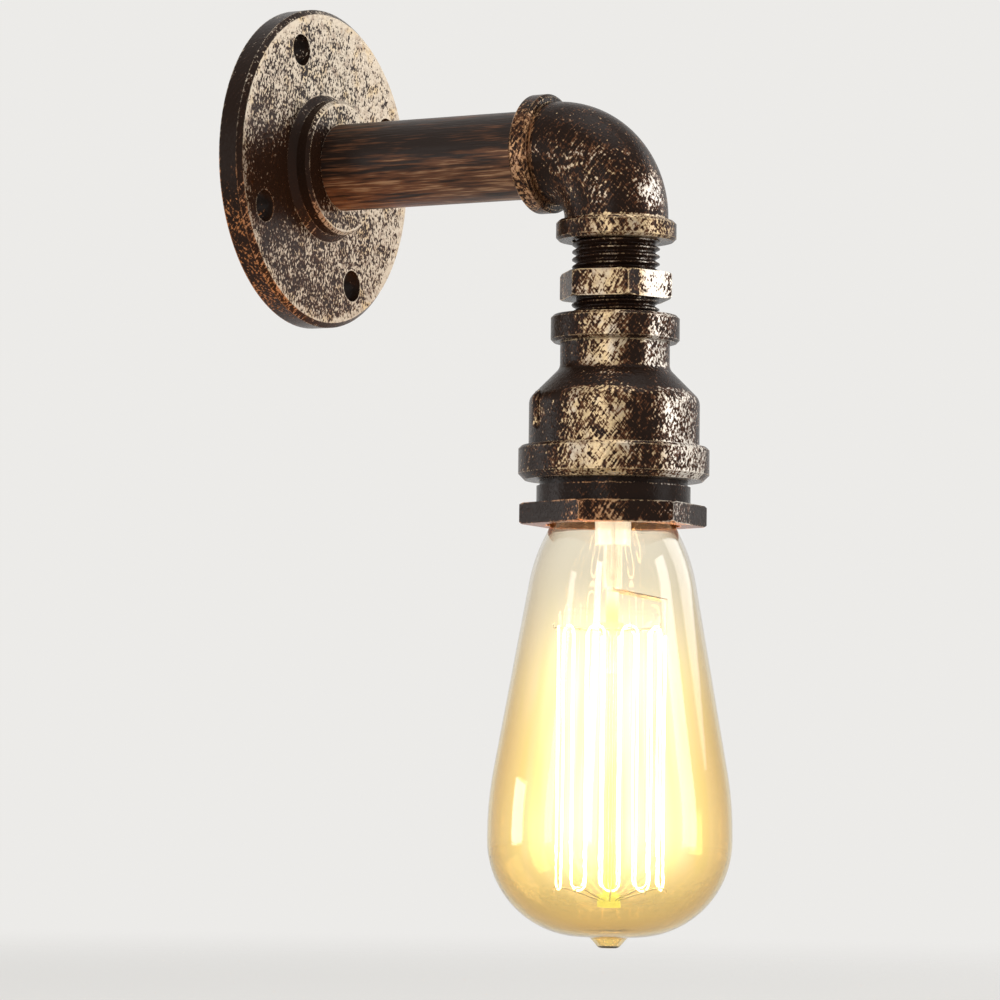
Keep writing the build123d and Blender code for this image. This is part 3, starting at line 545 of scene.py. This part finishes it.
def on_bushing_copper_and_glow(finish, point):
    """Towards the wall: copper, partly a painted warm glow from the bulb."""
    return finish.facing(around_axis(finish, point), COPPER_AND_GLOW_SIDE, 0.5, 0.9) * 0.7


def on_nipple(finish, point):
    """Thick on the hexagon, and only on the crests of the threads."""
    away = finish.vector("LENGTH", from_axis(finish, point))
    crests = finish.ease(away, 10.25, 10.55) * 0.35
    hexagon = finish.ease(away, 11.0, 11.6) * 0.45
    # A painted highlight on the hexagon's side that faces away from the wall.
    right = finish.facing(around_axis(finish, point), SIDE_HIGHLIGHT, 0.88, 0.99) * 0.2
    return painted_light_columns(finish, point) * 0.9 + crests + hexagon + right - 0.72


# ---------------------------------------------------------------- meshes and wires
def turned_mesh(name, angles, rings, centre):
    """A closed mesh of rings round a vertical axis.

    A ring is a function of the angle that gives radius and drop.
    """
    points = []
    for ring in rings:
        for angle in angles:
            radius, drop = ring(angle)
            points.append((
                centre.x + radius * math.cos(angle), centre.y + radius * math.sin(angle), -drop))
    count = len(angles)
    faces = []
    for ring in range(len(rings)):
        below = (ring + 1) % len(rings)
        for step in range(count):
            after = (step + 1) % count
            faces.append((
                ring * count + step, below * count + step, below * count + after, ring * count + after))
    mesh = bpy.data.meshes.new(name)
    mesh.from_pydata(points, [], faces)
    mesh.validate()
    return mesh


def wire_curve(name, diameter):
    """A curve that is drawn as round wire."""
    curve = bpy.data.curves.new(name, "CURVE")
    curve.dimensions = "3D"
    curve.bevel_depth = diameter / 2
    curve.bevel_resolution = 3
    curve.resolution_u = 8
    curve.use_fill_caps = True
    return curve


def around_lamp(sizes, angle, radius, drop):
    """A point given by its angle and radius round the lamp's axis."""
    return Vector((radius * math.cos(angle), -sizes.arm_reach + radius * math.sin(angle), -drop))


def add_bent_wire(curve, points, bend):
    """One wire along points, with round corners."""
    share = 0.45  # of a straight that a bend may take, and of a bend that its handles reach
    spline = curve.splines.new("BEZIER")
    stops = [(points[0], None, None)]
    for before, corner, after in zip(points, points[1:], points[2:]):
        reach = min(bend, (corner - before).length * share, (after - corner).length * share)
        back = (before - corner).normalized()
        ahead = (after - corner).normalized()
        stops.append((corner + back * reach, None, corner + back * reach * share))
        stops.append((corner + ahead * reach, corner + ahead * reach * share, None))
    stops.append((points[-1], None, None))
    spline.bezier_points.add(len(stops) - 1)
    for place, (point, left, right) in enumerate(stops):
        knot = spline.bezier_points[place]
        knot.co = point
        towards = stops[max(place - 1, 0)][0]
        onwards = stops[min(place + 1, len(stops) - 1)][0]
        knot.handle_left = left or point.lerp(towards, 1 / 3)
        knot.handle_right = right or point.lerp(onwards, 1 / 3)


# ---------------------------------------------------------------- operators
class WALLLIGHT_OT_stage(bpy.types.Operator):
    """Add the floor, the soft lamps and the camera"""

    bl_idname = "wall_light.stage"
    bl_label = "Stage"

    def execute(self, context):
        stage = context.scene.wall_light_stage
        self.add_floor(stage)
        self.add_world(context.scene)
        for lamp in SOFT_LAMPS:
            self.add_lamp(*lamp)
        self.add_glow(context.scene)
        self.add_camera(context.scene, stage)
        context.scene.view_settings.view_transform = "Standard"
        return {"FINISHED"}

    def add_floor(self, stage):
        """A pale floor that fades into the pale background, and keeps the light's shadow."""
        half = 4.0
        mesh = bpy.data.meshes.new("floor")
        around = ((-1, -1), (1, -1), (1, 1), (-1, 1))
        corners = [(half * right, half * ahead, -stage.floor_drop) for right, ahead in around]
        mesh.from_pydata(corners, [], [(0, 1, 2, 3)])
        floor = bpy.data.objects.new("floor", mesh)
        bpy.context.scene.collection.objects.link(floor)
        finish = Finish("pale_floor", Roughness=0.9, Specular_IOR_Level=0.0)
        finish.feed(Base_Color=(0.80, 0.79, 0.77))
        gone = finish.ease(finish.vector("LENGTH", finish.place()), 350.0, 1000.0)
        pale = finish.node("ShaderNodeEmission", {}, {"Color": PALE_ROOM})
        mostly = finish.node(
            "ShaderNodeMixShader", {}, {0: 0.35, 1: Level(finish, finish.shader.outputs[0]), 2: pale})
        clear = finish.node("ShaderNodeBsdfTransparent", {}, {})
        faded = finish.node("ShaderNodeMixShader", {}, {0: gone, 1: mostly, 2: clear})
        finish.tree.links.new(faded.output, finish.surface)
        mesh.materials.append(finish.material)

    def add_world(self, scene):
        """A soft pale room, which is seen as an even pale background."""
        world = bpy.data.worlds.new("studio")
        world.use_nodes = True
        nodes = world.node_tree.nodes
        links = world.node_tree.links
        light_path = nodes.new("ShaderNodeLightPath")
        seen = light_path.outputs["Is Camera Ray"]
        for ray in ("Is Glossy Ray", "Is Transmission Ray"):
            either = nodes.new("ShaderNodeMath")
            either.operation = "MAXIMUM"
            links.new(seen, either.inputs[0])
            links.new(light_path.outputs[ray], either.inputs[1])
            seen = either.outputs[0]
        pale = nodes.new("ShaderNodeBackground")
        pale.inputs["Color"].default_value = (*PALE_ROOM, 1)
        soft = nodes.new("ShaderNodeBackground")
        soft.inputs["Color"].default_value = (*PALE_ROOM, 1)
        soft.inputs["Strength"].default_value = 0.55
        choice = nodes.new("ShaderNodeMixShader")
        links.new(seen, choice.inputs["Fac"])
        links.new(soft.outputs[0], choice.inputs[1])
        links.new(pale.outputs[0], choice.inputs[2])
        links.new(choice.outputs[0], nodes["World Output"].inputs["Surface"])
        nodes.remove(nodes["Background"])
        scene.world = world

    def add_lamp(self, name, azimuth, elevation, width, height, power):
        """A soft lamp in that direction, in degrees, turned to the light."""
        turn, rise = math.radians(azimuth), math.radians(elevation)
        aim = Vector((0, -0.07, -0.07))
        distance = 1.25
        level = math.cos(rise)
        away = Vector((math.cos(turn) * level, math.sin(turn) * level, math.sin(rise)))
        light = bpy.data.lights.new(name, "AREA")
        light.shape = "RECTANGLE"
        light.size = width
        light.size_y = height
        light.energy = power
        lamp = bpy.data.objects.new(name, light)
        lamp.location = aim + away * distance
        lamp.rotation_euler = away.to_track_quat("Z", "Y").to_euler()
        lamp.visible_camera = False
        bpy.context.scene.collection.objects.link(lamp)

    def add_glow(self, scene):
        """The bulb's own warm light on the fittings above it."""
        light = bpy.data.lights.new("bulb_light", "AREA")
        light.shape = "DISK"
        light.size = 24 * MM
        light.energy = 0.32
        light.color = (1.0, 0.58, 0.26)
        lamp = bpy.data.objects.new("bulb_light", light)
        cage_drop = 0.125
        lamp.location = (0, -scene.wall_light_sizes.arm_reach, -cage_drop)
        lamp.rotation_euler = (math.pi, 0, 0)
        lamp.visible_camera = False
        lamp.visible_transmission = False
        lamp.visible_glossy = False
        scene.collection.objects.link(lamp)

    def add_camera(self, scene, stage):
        """The camera sees the light as the photograph does, a little off the middle of the frame."""
        across = math.cos(stage.azimuth) * math.cos(stage.elevation)
        back = Vector((
            math.sin(stage.azimuth) * math.cos(stage.elevation), -across, math.sin(stage.elevation)))
        right = Vector((math.cos(stage.azimuth), math.sin(stage.azimuth), 0))
        up = back.cross(right)
        turn = Matrix((right, up, back)).transposed()
        turn = turn @ Matrix.Rotation(stage.roll, 3, "Z")
        frame_width = 36
        picture_width = 1000
        focal = stage.lens / frame_width * picture_width
        # How far the aim stands to the right of the picture's middle and above it, in pixels.
        right_shift, up_shift = 12.6, 13.3
        turn = turn @ Matrix.Rotation(right_shift / focal, 3, "Y")
        turn = turn @ Matrix.Rotation(-up_shift / focal, 3, "X")
        camera_data = bpy.data.cameras.new("camera")
        camera_data.lens = stage.lens
        camera_data.sensor_width = frame_width
        camera_data.clip_end = 20
        camera = bpy.data.objects.new("camera", camera_data)
        aim = Vector((0, -0.06, -0.08))
        camera.matrix_world = Matrix.Translation(aim + back * stage.distance) @ turn.to_4x4()
        scene.collection.objects.link(camera)
        scene.camera = camera


class WALLLIGHT_OT_fittings(bpy.types.Operator):
    """Finish the flange, elbow, reducer and bushing as brushed cast iron"""

    bl_idname = "wall_light.fittings"
    bl_label = "Cast fittings"

    def execute(self, context):
        colours = context.scene.wall_light_metal
        tints = ((on_flange_rim_copper_and_glow, colours.copper),)
        flange = brushed_iron("flange_iron", colours, on_flange, 0.24, 0.22, tints)
        paint(flange, "wall_flange")
        tints = (on_elbow_copper, colours.copper), (on_elbow_painted_glint, colours.painted_glint)
        paint(brushed_iron("elbow_iron", colours, on_elbow, tints=tints), "elbow")
        tints = ((painted_glint_column, colours.painted_glint),)
        bell = brushed_iron("bell_iron", colours, on_bell, tints=tints)
        paint(bell, "bell_reducer")
        self.add_ribs(context.scene.wall_light_sizes, bell)
        tints = (on_bushing_copper_and_glow, colours.copper), (painted_glint_column, colours.painted_glint)
        paint(brushed_iron("bushing_iron", colours, on_bushing, tints=tints), "socket_bushing")
        return {"FINISHED"}

    def add_ribs(self, sizes, finish):
        """The two upright ribs that the bell is gripped by, opposite each other."""
        spread = math.radians(4.2)
        barrel = 20.15 * MM
        # Across the rib, from edge to edge, and how high it is there.
        outline = [(-1, 0), (-0.8, 0.6), (-0.4, 0.95), (0.4, 0.95), (0.8, 0.6), (1, 0)]
        # Down the rib: a drop in millimetres, and how high it is there.
        slices = [(58.6, -0.6), (59.6, 0.7), (60.4, 1), (66.6, 1), (67.4, 0.7), (68.2, -0.6)]
        points = []
        faces = []
        for middle in (sizes.rib_turn, sizes.rib_turn + math.pi):
            first = len(points)
            for drop, height in slices:
                for across, rise in outline:
                    radius = barrel + sizes.rib_height * max(rise + height - 1, -0.3)
                    angle = middle + spread * across
                    points.append(around_lamp(sizes, angle, radius, drop * MM))
            width = len(outline)
            for row in range(len(slices) - 1):
                for column in range(width - 1):
                    corner = first + row * width + column
                    faces.append((corner, corner + width, corner + width + 1, corner + 1))
            last = first + (len(slices) - 1) * width
            faces.append(tuple(range(first, first + width)))
            faces.append(tuple(range(last, last + width))[::-1])
            for row in range(len(slices) - 1):
                corner = first + row * width
                faces.append((corner, corner + width - 1, corner + 2 * width - 1, corner + width))
        mesh = bpy.data.meshes.new("bell_ribs")
        mesh.from_pydata(points, [], faces)
        mesh.validate()
        for face in mesh.polygons:
            face.use_smooth = True
        add_piece("bell_ribs", mesh, "fixture", finish)


class WALLLIGHT_OT_arm(bpy.types.Operator):
    """Finish the pipe with bronze streaks along it"""

    bl_idname = "wall_light.arm"
    bl_label = "Arm pipe"

    def execute(self, context):
        colours = context.scene.wall_light_metal
        finish = Finish("streaked_pipe", Specular_IOR_Level=0.2)
        x, _, z = finish.parts(finish.place())
        # Painted warm glow: lighter bronze low on the pipe, where the bulb's light falls.
        low = finish.ease(0 - z - x * 0.3, -2.0, 12.0)
        streak = finish.noise(finish.place((1, 0.06, 1)), 0.8, 3, 0.6)
        broad = finish.noise(finish.place((1, 0.14, 1)), 3.6, 3, 0.6)
        scratch = finish.noise(finish.place((1, 0.04, 1)), 0.35, 2, 0.5)
        marks = (streak - 0.5) * 1.6 + (broad - 0.5) * 1.4 + (scratch - 0.5)
        cover = marks + low * 0.40 - 0.06
        brown = finish.ease(cover, -0.06, 0.46)
        light = finish.ease(cover, 0.40, 0.72)
        colour = finish.blend(brown, colours.iron, colours.umber)
        colour = finish.blend(light, colour, colours.bronze)
        finish.feed(
            Base_Color=colour,
            Metallic=0.1 + light * 0.5,
            Roughness=0.38 + (scratch - 0.5) * 0.4)
        finish.relief(streak * 0.6 + scratch * 0.4, 0.2 * MM)
        paint(finish, "arm_pipe")
        return {"FINISHED"}


class WALLLIGHT_OT_nipple(bpy.types.Operator):
    """Make the hexagon nipple with its cut pipe threads"""

    bl_idname = "wall_light.nipple"
    bl_label = "Threaded nipple"

    def execute(self, context):
        sizes = context.scene.wall_light_sizes
        crest = sizes.thread_diameter / 2
        root = crest - sizes.thread_depth
        flats = sizes.hex_flats / 2
        corner = flats / math.cos(math.pi / 6)
        face = corner - 0.7 * MM
        cut = (corner - face) * math.tan(math.pi / 6)
        shares = (0, 0.25, 0.5, 0.75, 1)
        groove = 0.3 * MM
        runout = 0.5 * MM
        thread_top = 21.1 * MM
        thread_bottom = 41.0 * MM
        gap = 0.1 * MM
        rings_per_turn = 8

        def thread(drop):
            """A ring across the thread, whose turns rise with the angle, flat on crest and root."""
            def ring(angle):
                turn = (drop / sizes.thread_pitch + angle / (2 * math.pi)) % 1
                slope = abs(turn * 2 - 1)
                return root + (crest - root) * min(max(slope * 1.5 - 0.25, 0), 1), drop
            return ring

        def plain(radius, drop):
            return lambda angle: (radius, drop)

        def hexagon(limit, drop):
            """A ring round the hexagon, kept within the turned limit of its corners."""
            def ring(angle):
                off = (angle - sizes.hex_turn + math.pi / 6) % (math.pi / 3) - math.pi / 6
                return min(flats / math.cos(off), limit), drop
            return ring

        def threads(start, end):
            steps = round((end - start) / sizes.thread_pitch * rings_per_turn)
            return [thread(start + (end - start) * step / steps) for step in range(steps + 1)]

        rings = [plain(crest, sizes.nipple_top), plain(crest, thread_top - gap)]
        rings += threads(thread_top, sizes.hex_top - runout)
        rings += [plain(root, sizes.hex_top - groove), plain(root, sizes.hex_top)]
        for share in shares:
            limit = face + (corner - face) * share
            rings.append(hexagon(limit, sizes.hex_top + cut * share))
        for share in reversed(shares):
            limit = face + (corner - face) * share
            rings.append(hexagon(limit, sizes.hex_bottom - cut * share))
        rings += [plain(root, sizes.hex_bottom), plain(root, sizes.hex_bottom + groove)]
        rings += threads(sizes.hex_bottom + runout, thread_bottom)
        rings += [plain(crest, thread_bottom + gap), plain(crest, sizes.nipple_bottom)]
        bore = sizes.nipple_bore / 2
        rings += [plain(bore, sizes.nipple_bottom), plain(bore, sizes.nipple_top)]
        sides = 96
        angles = [sizes.hex_turn + 2 * math.pi * step / sides for step in range(sides)]
        mesh = turned_mesh("nipple", angles, rings, Vector((0, -sizes.arm_reach)))
        colours = context.scene.wall_light_metal
        tints = ((painted_glint_column, colours.painted_glint),)
        finish = brushed_iron("nipple_iron", colours, on_nipple, tints=tints)
        add_piece("threaded_nipple", mesh, "fixture", finish, ("hex_nipple",))
        return {"FINISHED"}


class WALLLIGHT_OT_holder(bpy.types.Operator):
    """Finish the porcelain lamp holder and its contacts"""

    bl_idname = "wall_light.holder"
    bl_label = "Lamp holder"

    def execute(self, context):
        colours = context.scene.wall_light_metal
        glaze = Finish("porcelain", Coat_Weight=0.6, Coat_Roughness=0.06, Roughness=0.25)
        point = glaze.place()
        fog = glaze.noise(point, 5.0)
        specks = glaze.ease(glaze.noise(point, 0.5, 1), 0.68, 0.74)
        body = glaze.blend(fog, (0.84, 0.81, 0.75), (0.93, 0.92, 0.88))
        glaze.feed(Base_Color=glaze.blend(specks * 0.5, body, (0.35, 0.28, 0.22)))
        glaze.relief(fog, 0.1 * MM)
        paint(glaze, "lamp_holder")

        paint(pressed_metal("shell_brass", colours.brass, 0.28), "screw_shell")
        paint(pressed_metal("contact_bronze", (0.70, 0.43, 0.22), 0.3), "centre_contact")
        terminals = pressed_metal("terminal_brass", (0.83, 0.66, 0.34), 0.22)
        paint(terminals, "live_terminal", "neutral_terminal")
        paint(pressed_metal("zinc_screws", (0.72, 0.72, 0.70), 0.3), "terminal_screws")
        paint(pressed_metal("tinned_ring", (0.74, 0.71, 0.62), 0.35), "earth_tag_ring")

        fibre = Finish("red_fibre", Roughness=0.7)
        fluff = fibre.noise(fibre.place((1, 1, 3)), 0.6)
        fibre.feed(Base_Color=fibre.blend(fluff, (0.34, 0.09, 0.06), (0.55, 0.20, 0.13)))
        fibre.relief(fluff, 0.1 * MM)
        paint(fibre, "seat_washer")
        return {"FINISHED"}


def pressed_metal(name, colour, rough):
    """Bare sheet metal with drawing marks and a little tarnish."""
    finish = Finish(name, Metallic=1.0)
    marks = finish.noise(finish.place((1, 1, 4)), 0.8, 2)
    tarnish = finish.ease(finish.noise(finish.place(), 2.6, 3), 0.42, 0.8)
    dark = tuple(channel * 0.45 for channel in colour)
    finish.feed(
        Base_Color=finish.blend(tarnish * 0.55, colour, dark),
        Roughness=rough + (marks - 0.5) * 0.25 + tarnish * 0.2)
    finish.relief(marks, 0.04 * MM)
    return finish


class WALLLIGHT_OT_wiring(bpy.types.Operator):
    """Finish the three leads, their bare ends and their ferrules"""

    bl_idname = "wall_light.wiring"
    bl_label = "Wiring"

    def execute(self, context):
        paint(self.silicone("live_insulation", (0.20, 0.085, 0.03)), "live_wire")
        paint(self.silicone("neutral_insulation", (0.02, 0.10, 0.42)), "neutral_wire")
        paint(self.striped_silicone(), "earth_wire")
        copper = Finish("copper_strands", Metallic=1.0, Roughness=0.3)
        lay = copper.noise(copper.place((1, 1, 0.3)), 0.3, 1)
        copper.feed(Base_Color=copper.blend(lay, (0.60, 0.27, 0.14), (0.92, 0.52, 0.33)))
        copper.relief(lay, 0.08 * MM)
        paint(copper, "wire_cores")
        collar = Finish("white_collar", Roughness=0.4)
        grime = collar.noise(collar.place(), 1.2)
        y = collar.parts(collar.place())[1]
        collar_end = -17.6
        sleeve = collar.ease(y, collar_end - 0.02, collar_end + 0.02)
        plastic = collar.blend(grime, (0.80, 0.80, 0.78), (0.93, 0.93, 0.92))
        collar.feed(Base_Color=collar.blend(sleeve, plastic, (0.70, 0.69, 0.66)), Metallic=sleeve)
        paint(collar, "wire_ferrules")
        return {"FINISHED"}

    def silicone(self, name, colour):
        """Soft coloured insulation with a little dust on it."""
        finish = Finish(name, Roughness=0.5, Sheen_Weight=0.2)
        dust = finish.noise(finish.place(), 1.6)
        pale = tuple(channel * 1.3 + 0.03 for channel in colour)
        finish.feed(Base_Color=finish.blend(finish.ease(dust, 0.4, 0.75), colour, pale))
        finish.relief(finish.noise(finish.place(), 0.3), 0.03 * MM)
        return finish

    def striped_silicone(self):
        """Green insulation with a yellow side."""
        finish = Finish("earth_insulation", Roughness=0.5, Sheen_Weight=0.2)
        x = finish.parts(finish.place())[0]
        stripe = finish.ease(x, -0.05, 0.05)
        finish.feed(Base_Color=finish.blend(stripe, (0.10, 0.36, 0.05), (0.80, 0.66, 0.05)))
        finish.relief(finish.noise(finish.place(), 0.3), 0.03 * MM)
        return finish


class WALLLIGHT_OT_glass(bpy.types.Operator):
    """Finish the bulb's amber glass and its clear stem"""

    bl_idname = "wall_light.glass"
    bl_label = "Bulb glass"

    def execute(self, context):
        colours = context.scene.wall_light_bulb
        envelope = Finish(
            "amber_glass", Transmission_Weight=1.0, IOR=1.45, Roughness=0.0, Emission_Strength=0.34)
        drop = envelope.drop(envelope.place())
        rim = envelope.node("ShaderNodeLayerWeight", {}, {"Blend": 0.5}, "Facing")
        edge_on = envelope.ease(rim, 0.2, 0.95)
        depth = envelope.ease(drop, 90.0, 150.0)
        tint = envelope.blend(depth, colours.clear, colours.amber)
        deep = envelope.blend(depth, colours.smoke, colours.rim)
        # Painted glow: the glass gives off the filament's light in a band round the strands, where it
        # is seen face on, streaked with the rod's yellow-green.
        lit = envelope.ease(drop, 100.0, 130.0) - envelope.ease(drop, 160.0, 184.0)
        streaks = envelope.ease(envelope.noise(envelope.place((1, 1, 0.04)), 5.0, 1), 0.38, 0.62)
        glow = envelope.blend(streaks * 0.6 + 0.4, colours.rod, colours.glow)
        middle = 1 - envelope.ease(rim, 0.02, 0.32)
        envelope.feed(
            Base_Color=envelope.blend(edge_on, tint, deep),
            Emission_Color=envelope.blend(lit * middle, (0.0, 0.0, 0.0), glow))
        envelope.material.cycles.emission_sampling = "NONE"
        self.let_lamps_through(envelope)
        paint(envelope, "bulb_glass")

        # Painted glow: the stem gives off light, pale above and yellow-green low down.
        stem = Finish(
            "stem_glass", Transmission_Weight=0.85, IOR=1.5, Roughness=0.08, Emission_Strength=0.2)
        low = stem.ease(stem.drop(stem.place()), 104.0, 112.0)
        seeds = stem.noise(stem.place((1, 1, 0.2)), 1.0)
        stem.feed(
            Base_Color=stem.blend(low, (0.97, 0.96, 0.92), colours.rod),
            Emission_Color=stem.blend(low, (1.0, 0.93, 0.80), colours.rod))
        stem.relief(seeds, 0.1 * MM)
        paint(stem, "stem")
        return {"FINISHED"}

    def let_lamps_through(self, finish):
        """Lamps light what is inside the glass as if through an open tint."""
        shadow = finish.node("ShaderNodeLightPath", {}, {}, "Is Shadow Ray")
        open_tint = finish.node("ShaderNodeBsdfTransparent", {}, {"Color": (0.96, 0.90, 0.76)})
        glass = Level(finish, finish.shader.outputs[0])
        mixed = finish.node("ShaderNodeMixShader", {}, {0: shadow, 1: glass, 2: open_tint})
        finish.tree.links.new(mixed.output, finish.surface)


class WALLLIGHT_OT_cap(bpy.types.Operator):
    """Finish the bulb's brass cap, its insulator, contact and cement"""

    bl_idname = "wall_light.cap"
    bl_label = "Bulb cap"

    def execute(self, context):
        colours = context.scene.wall_light_metal
        paint(pressed_metal("cap_brass", colours.brass, 0.2), "bulb_cap")
        paint(pressed_metal("soldered_tin", (0.66, 0.65, 0.62), 0.42), "bulb_eyelet")
        vitrite = Finish("black_glass", Coat_Weight=0.5, Roughness=0.12)
        swirl = vitrite.noise(vitrite.place(), 2.5)
        vitrite.feed(Base_Color=vitrite.blend(swirl, (0.012, 0.010, 0.016), (0.045, 0.035, 0.05)))
        vitrite.relief(swirl, 0.1 * MM)
        paint(vitrite, "cap_insulator")
        cement = Finish("capping_cement", Roughness=0.85)
        pores = cement.noise(cement.place(), 0.7, 4)
        cement.feed(Base_Color=cement.blend(pores, (0.52, 0.46, 0.36), (0.86, 0.81, 0.70)))
        cement.relief(pores, 0.2 * MM)
        paint(cement, "cap_cement")
        return {"FINISHED"}


class WALLLIGHT_OT_filament(bpy.types.Operator):
    """Hang the lit filament up and down its cage"""

    bl_idname = "wall_light.filament"
    bl_label = "Filament"

    def execute(self, context):
        sizes = context.scene.wall_light_sizes
        cage = context.scene.wall_light_filament
        colours = context.scene.wall_light_bulb
        chance = random.Random(7)
        step = 2 * math.pi / cage.strands
        reach = (cage.bottom - cage.top) / 6
        half_turn = cage.cage_radius * math.sin(step / 2) * 4 / 3
        curve = wire_curve("filament", cage.thread)
        curve.bevel_resolution = 2
        spline = curve.splines.new("BEZIER")
        spline.bezier_points.add(3 * cage.strands - 1)
        knots = iter(spline.bezier_points)
        for strand in range(cage.strands):
            angle = cage.first_strand + strand * step
            going = -1 if strand % 2 == 0 else 1
            drops = [cage.top, (cage.top + cage.bottom) / 2, cage.bottom]
            for place, drop in enumerate(drops if going < 0 else reversed(drops)):
                stray = cage.sway * chance.uniform(-1, 1) if place == 1 else 0
                point = around_lamp(sizes, angle, cage.cage_radius + stray, drop)
                point.x += stray * 0.6
                back = half_turn if place == 0 and strand > 0 else reach
                ahead = half_turn if place == 2 else reach
                knot = next(knots)
                knot.co = point
                knot.handle_left = point - Vector((0, 0, going * back))
                knot.handle_right = point + Vector((0, 0, going * ahead))
        finish = Finish("lit_thread", Roughness=0.6, Emission_Strength=colours.light)
        spot = finish.noise(finish.place((1, 1, 0.25)), 2.0)
        hot = finish.ease(spot, 0.25, 0.7)
        finish.feed(
            Base_Color=finish.blend(hot, (0.9, 0.6, 0.2), (1.0, 0.85, 0.5)),
            Emission_Color=finish.blend(hot, (1.0, 0.62, 0.22), colours.glow))
        finish.material.cycles.emission_sampling = "NONE"
        add_piece("filament_thread", curve, "bulb", finish, ("filament",))
        return {"FINISHED"}


class WALLLIGHT_OT_hooks(bpy.types.Operator):
    """Bend the wires that hold the filament and lead the current to it"""

    bl_idname = "wall_light.hooks"
    bl_label = "Hooks and leads"

    def execute(self, context):
        sizes = context.scene.wall_light_sizes
        cage = context.scene.wall_light_filament
        step = 2 * math.pi / cage.strands
        gap = 2 * cage.cage_radius * math.sin(step / 2)
        turn_centre = cage.cage_radius * math.cos(step / 2)
        end = turn_centre + cage.thread / 2 + 0.9 * MM
        inner = 1.9 * MM
        elbow = cage.cage_radius - 1.8 * MM
        bend = 0.6 * MM
        lip = 1.2 * MM
        finish = pressed_metal("support_wire", (0.55, 0.53, 0.50), 0.3)

        def add_hooks(name, node, turns, hub, arm, lip):
            """Wires from the hub to the filament's turns, with their ends bent over by the lip."""
            curve = wire_curve(node, cage.hook)
            for turn in turns:
                angle = cage.first_strand + turn * step
                route = ((inner, hub), (elbow, arm), (end, arm), (end, arm + lip))
                add_bent_wire(curve, [around_lamp(sizes, angle, *stop) for stop in route], bend)
            add_piece(name, curve, "bulb", finish, (node,))

        arm = cage.top - gap / 2 + cage.thread / 2 + cage.hook / 2
        turns = [2 * hook + 1.5 for hook in range(cage.strands // 2 - 1)]
        add_hooks("upper_hook_wires", "upper_hooks", turns, arm + cage.hook, arm, -lip)

        arm = cage.bottom + gap / 2 - cage.thread / 2 - cage.hook / 2
        turns = [2 * hook + 0.5 for hook in range(cage.strands // 2)]
        hub = cage.bottom + 4.6 * MM
        add_hooks("lower_hook_wires", "lower_hooks", turns, hub, arm, lip)

        paint(finish, "lead_in_wires")
        return {"FINISHED"}


OPERATORS = (
    WALLLIGHT_OT_stage,
    WALLLIGHT_OT_fittings,
    WALLLIGHT_OT_arm,
    WALLLIGHT_OT_nipple,
    WALLLIGHT_OT_holder,
    WALLLIGHT_OT_wiring,
    WALLLIGHT_OT_glass,
    WALLLIGHT_OT_cap,
    WALLLIGHT_OT_filament,
    WALLLIGHT_OT_hooks,
)

SETTINGS = {
    "wall_light_sizes": LampSizes,
    "wall_light_filament": FilamentSizes,
    "wall_light_metal": MetalColours,
    "wall_light_bulb": BulbColours,
    "wall_light_stage": StageSettings,
}


class WALLLIGHT_PT_panel(bpy.types.Panel):
    """The wall light's pieces and settings"""

    bl_idname = "WALLLIGHT_PT_panel"
    bl_label = "Wall Light"
    bl_space_type = "VIEW_3D"
    bl_region_type = "UI"
    bl_category = "Wall Light"

    def draw(self, context):
        for operator in OPERATORS:
            self.layout.operator(operator.bl_idname)
        for name, group in SETTINGS.items():
            box = self.layout.box()
            for setting in group.__annotations__:
                box.prop(getattr(context.scene, name), setting)


def register():
    for name, group in SETTINGS.items():
        bpy.utils.register_class(group)
        setattr(bpy.types.Scene, name, bpy.props.PointerProperty(type=group))
    for operator in OPERATORS:
        bpy.utils.register_class(operator)
    bpy.utils.register_class(WALLLIGHT_PT_panel)


def unregister():
    bpy.utils.unregister_class(WALLLIGHT_PT_panel)
    for operator in reversed(OPERATORS):
        bpy.utils.unregister_class(operator)
    for name, group in reversed(list(SETTINGS.items())):
        delattr(bpy.types.Scene, name)
        bpy.utils.unregister_class(group)


def main():
    register()
    bpy.ops.wall_light.stage()
    bpy.ops.wall_light.fittings()
    bpy.ops.wall_light.arm()
    bpy.ops.wall_light.nipple()
    bpy.ops.wall_light.holder()
    bpy.ops.wall_light.wiring()
    bpy.ops.wall_light.glass()
    bpy.ops.wall_light.cap()
    bpy.ops.wall_light.filament()
    bpy.ops.wall_light.hooks()
    bpy.context.view_layer.update()


if __name__ == "__main__":
    main()
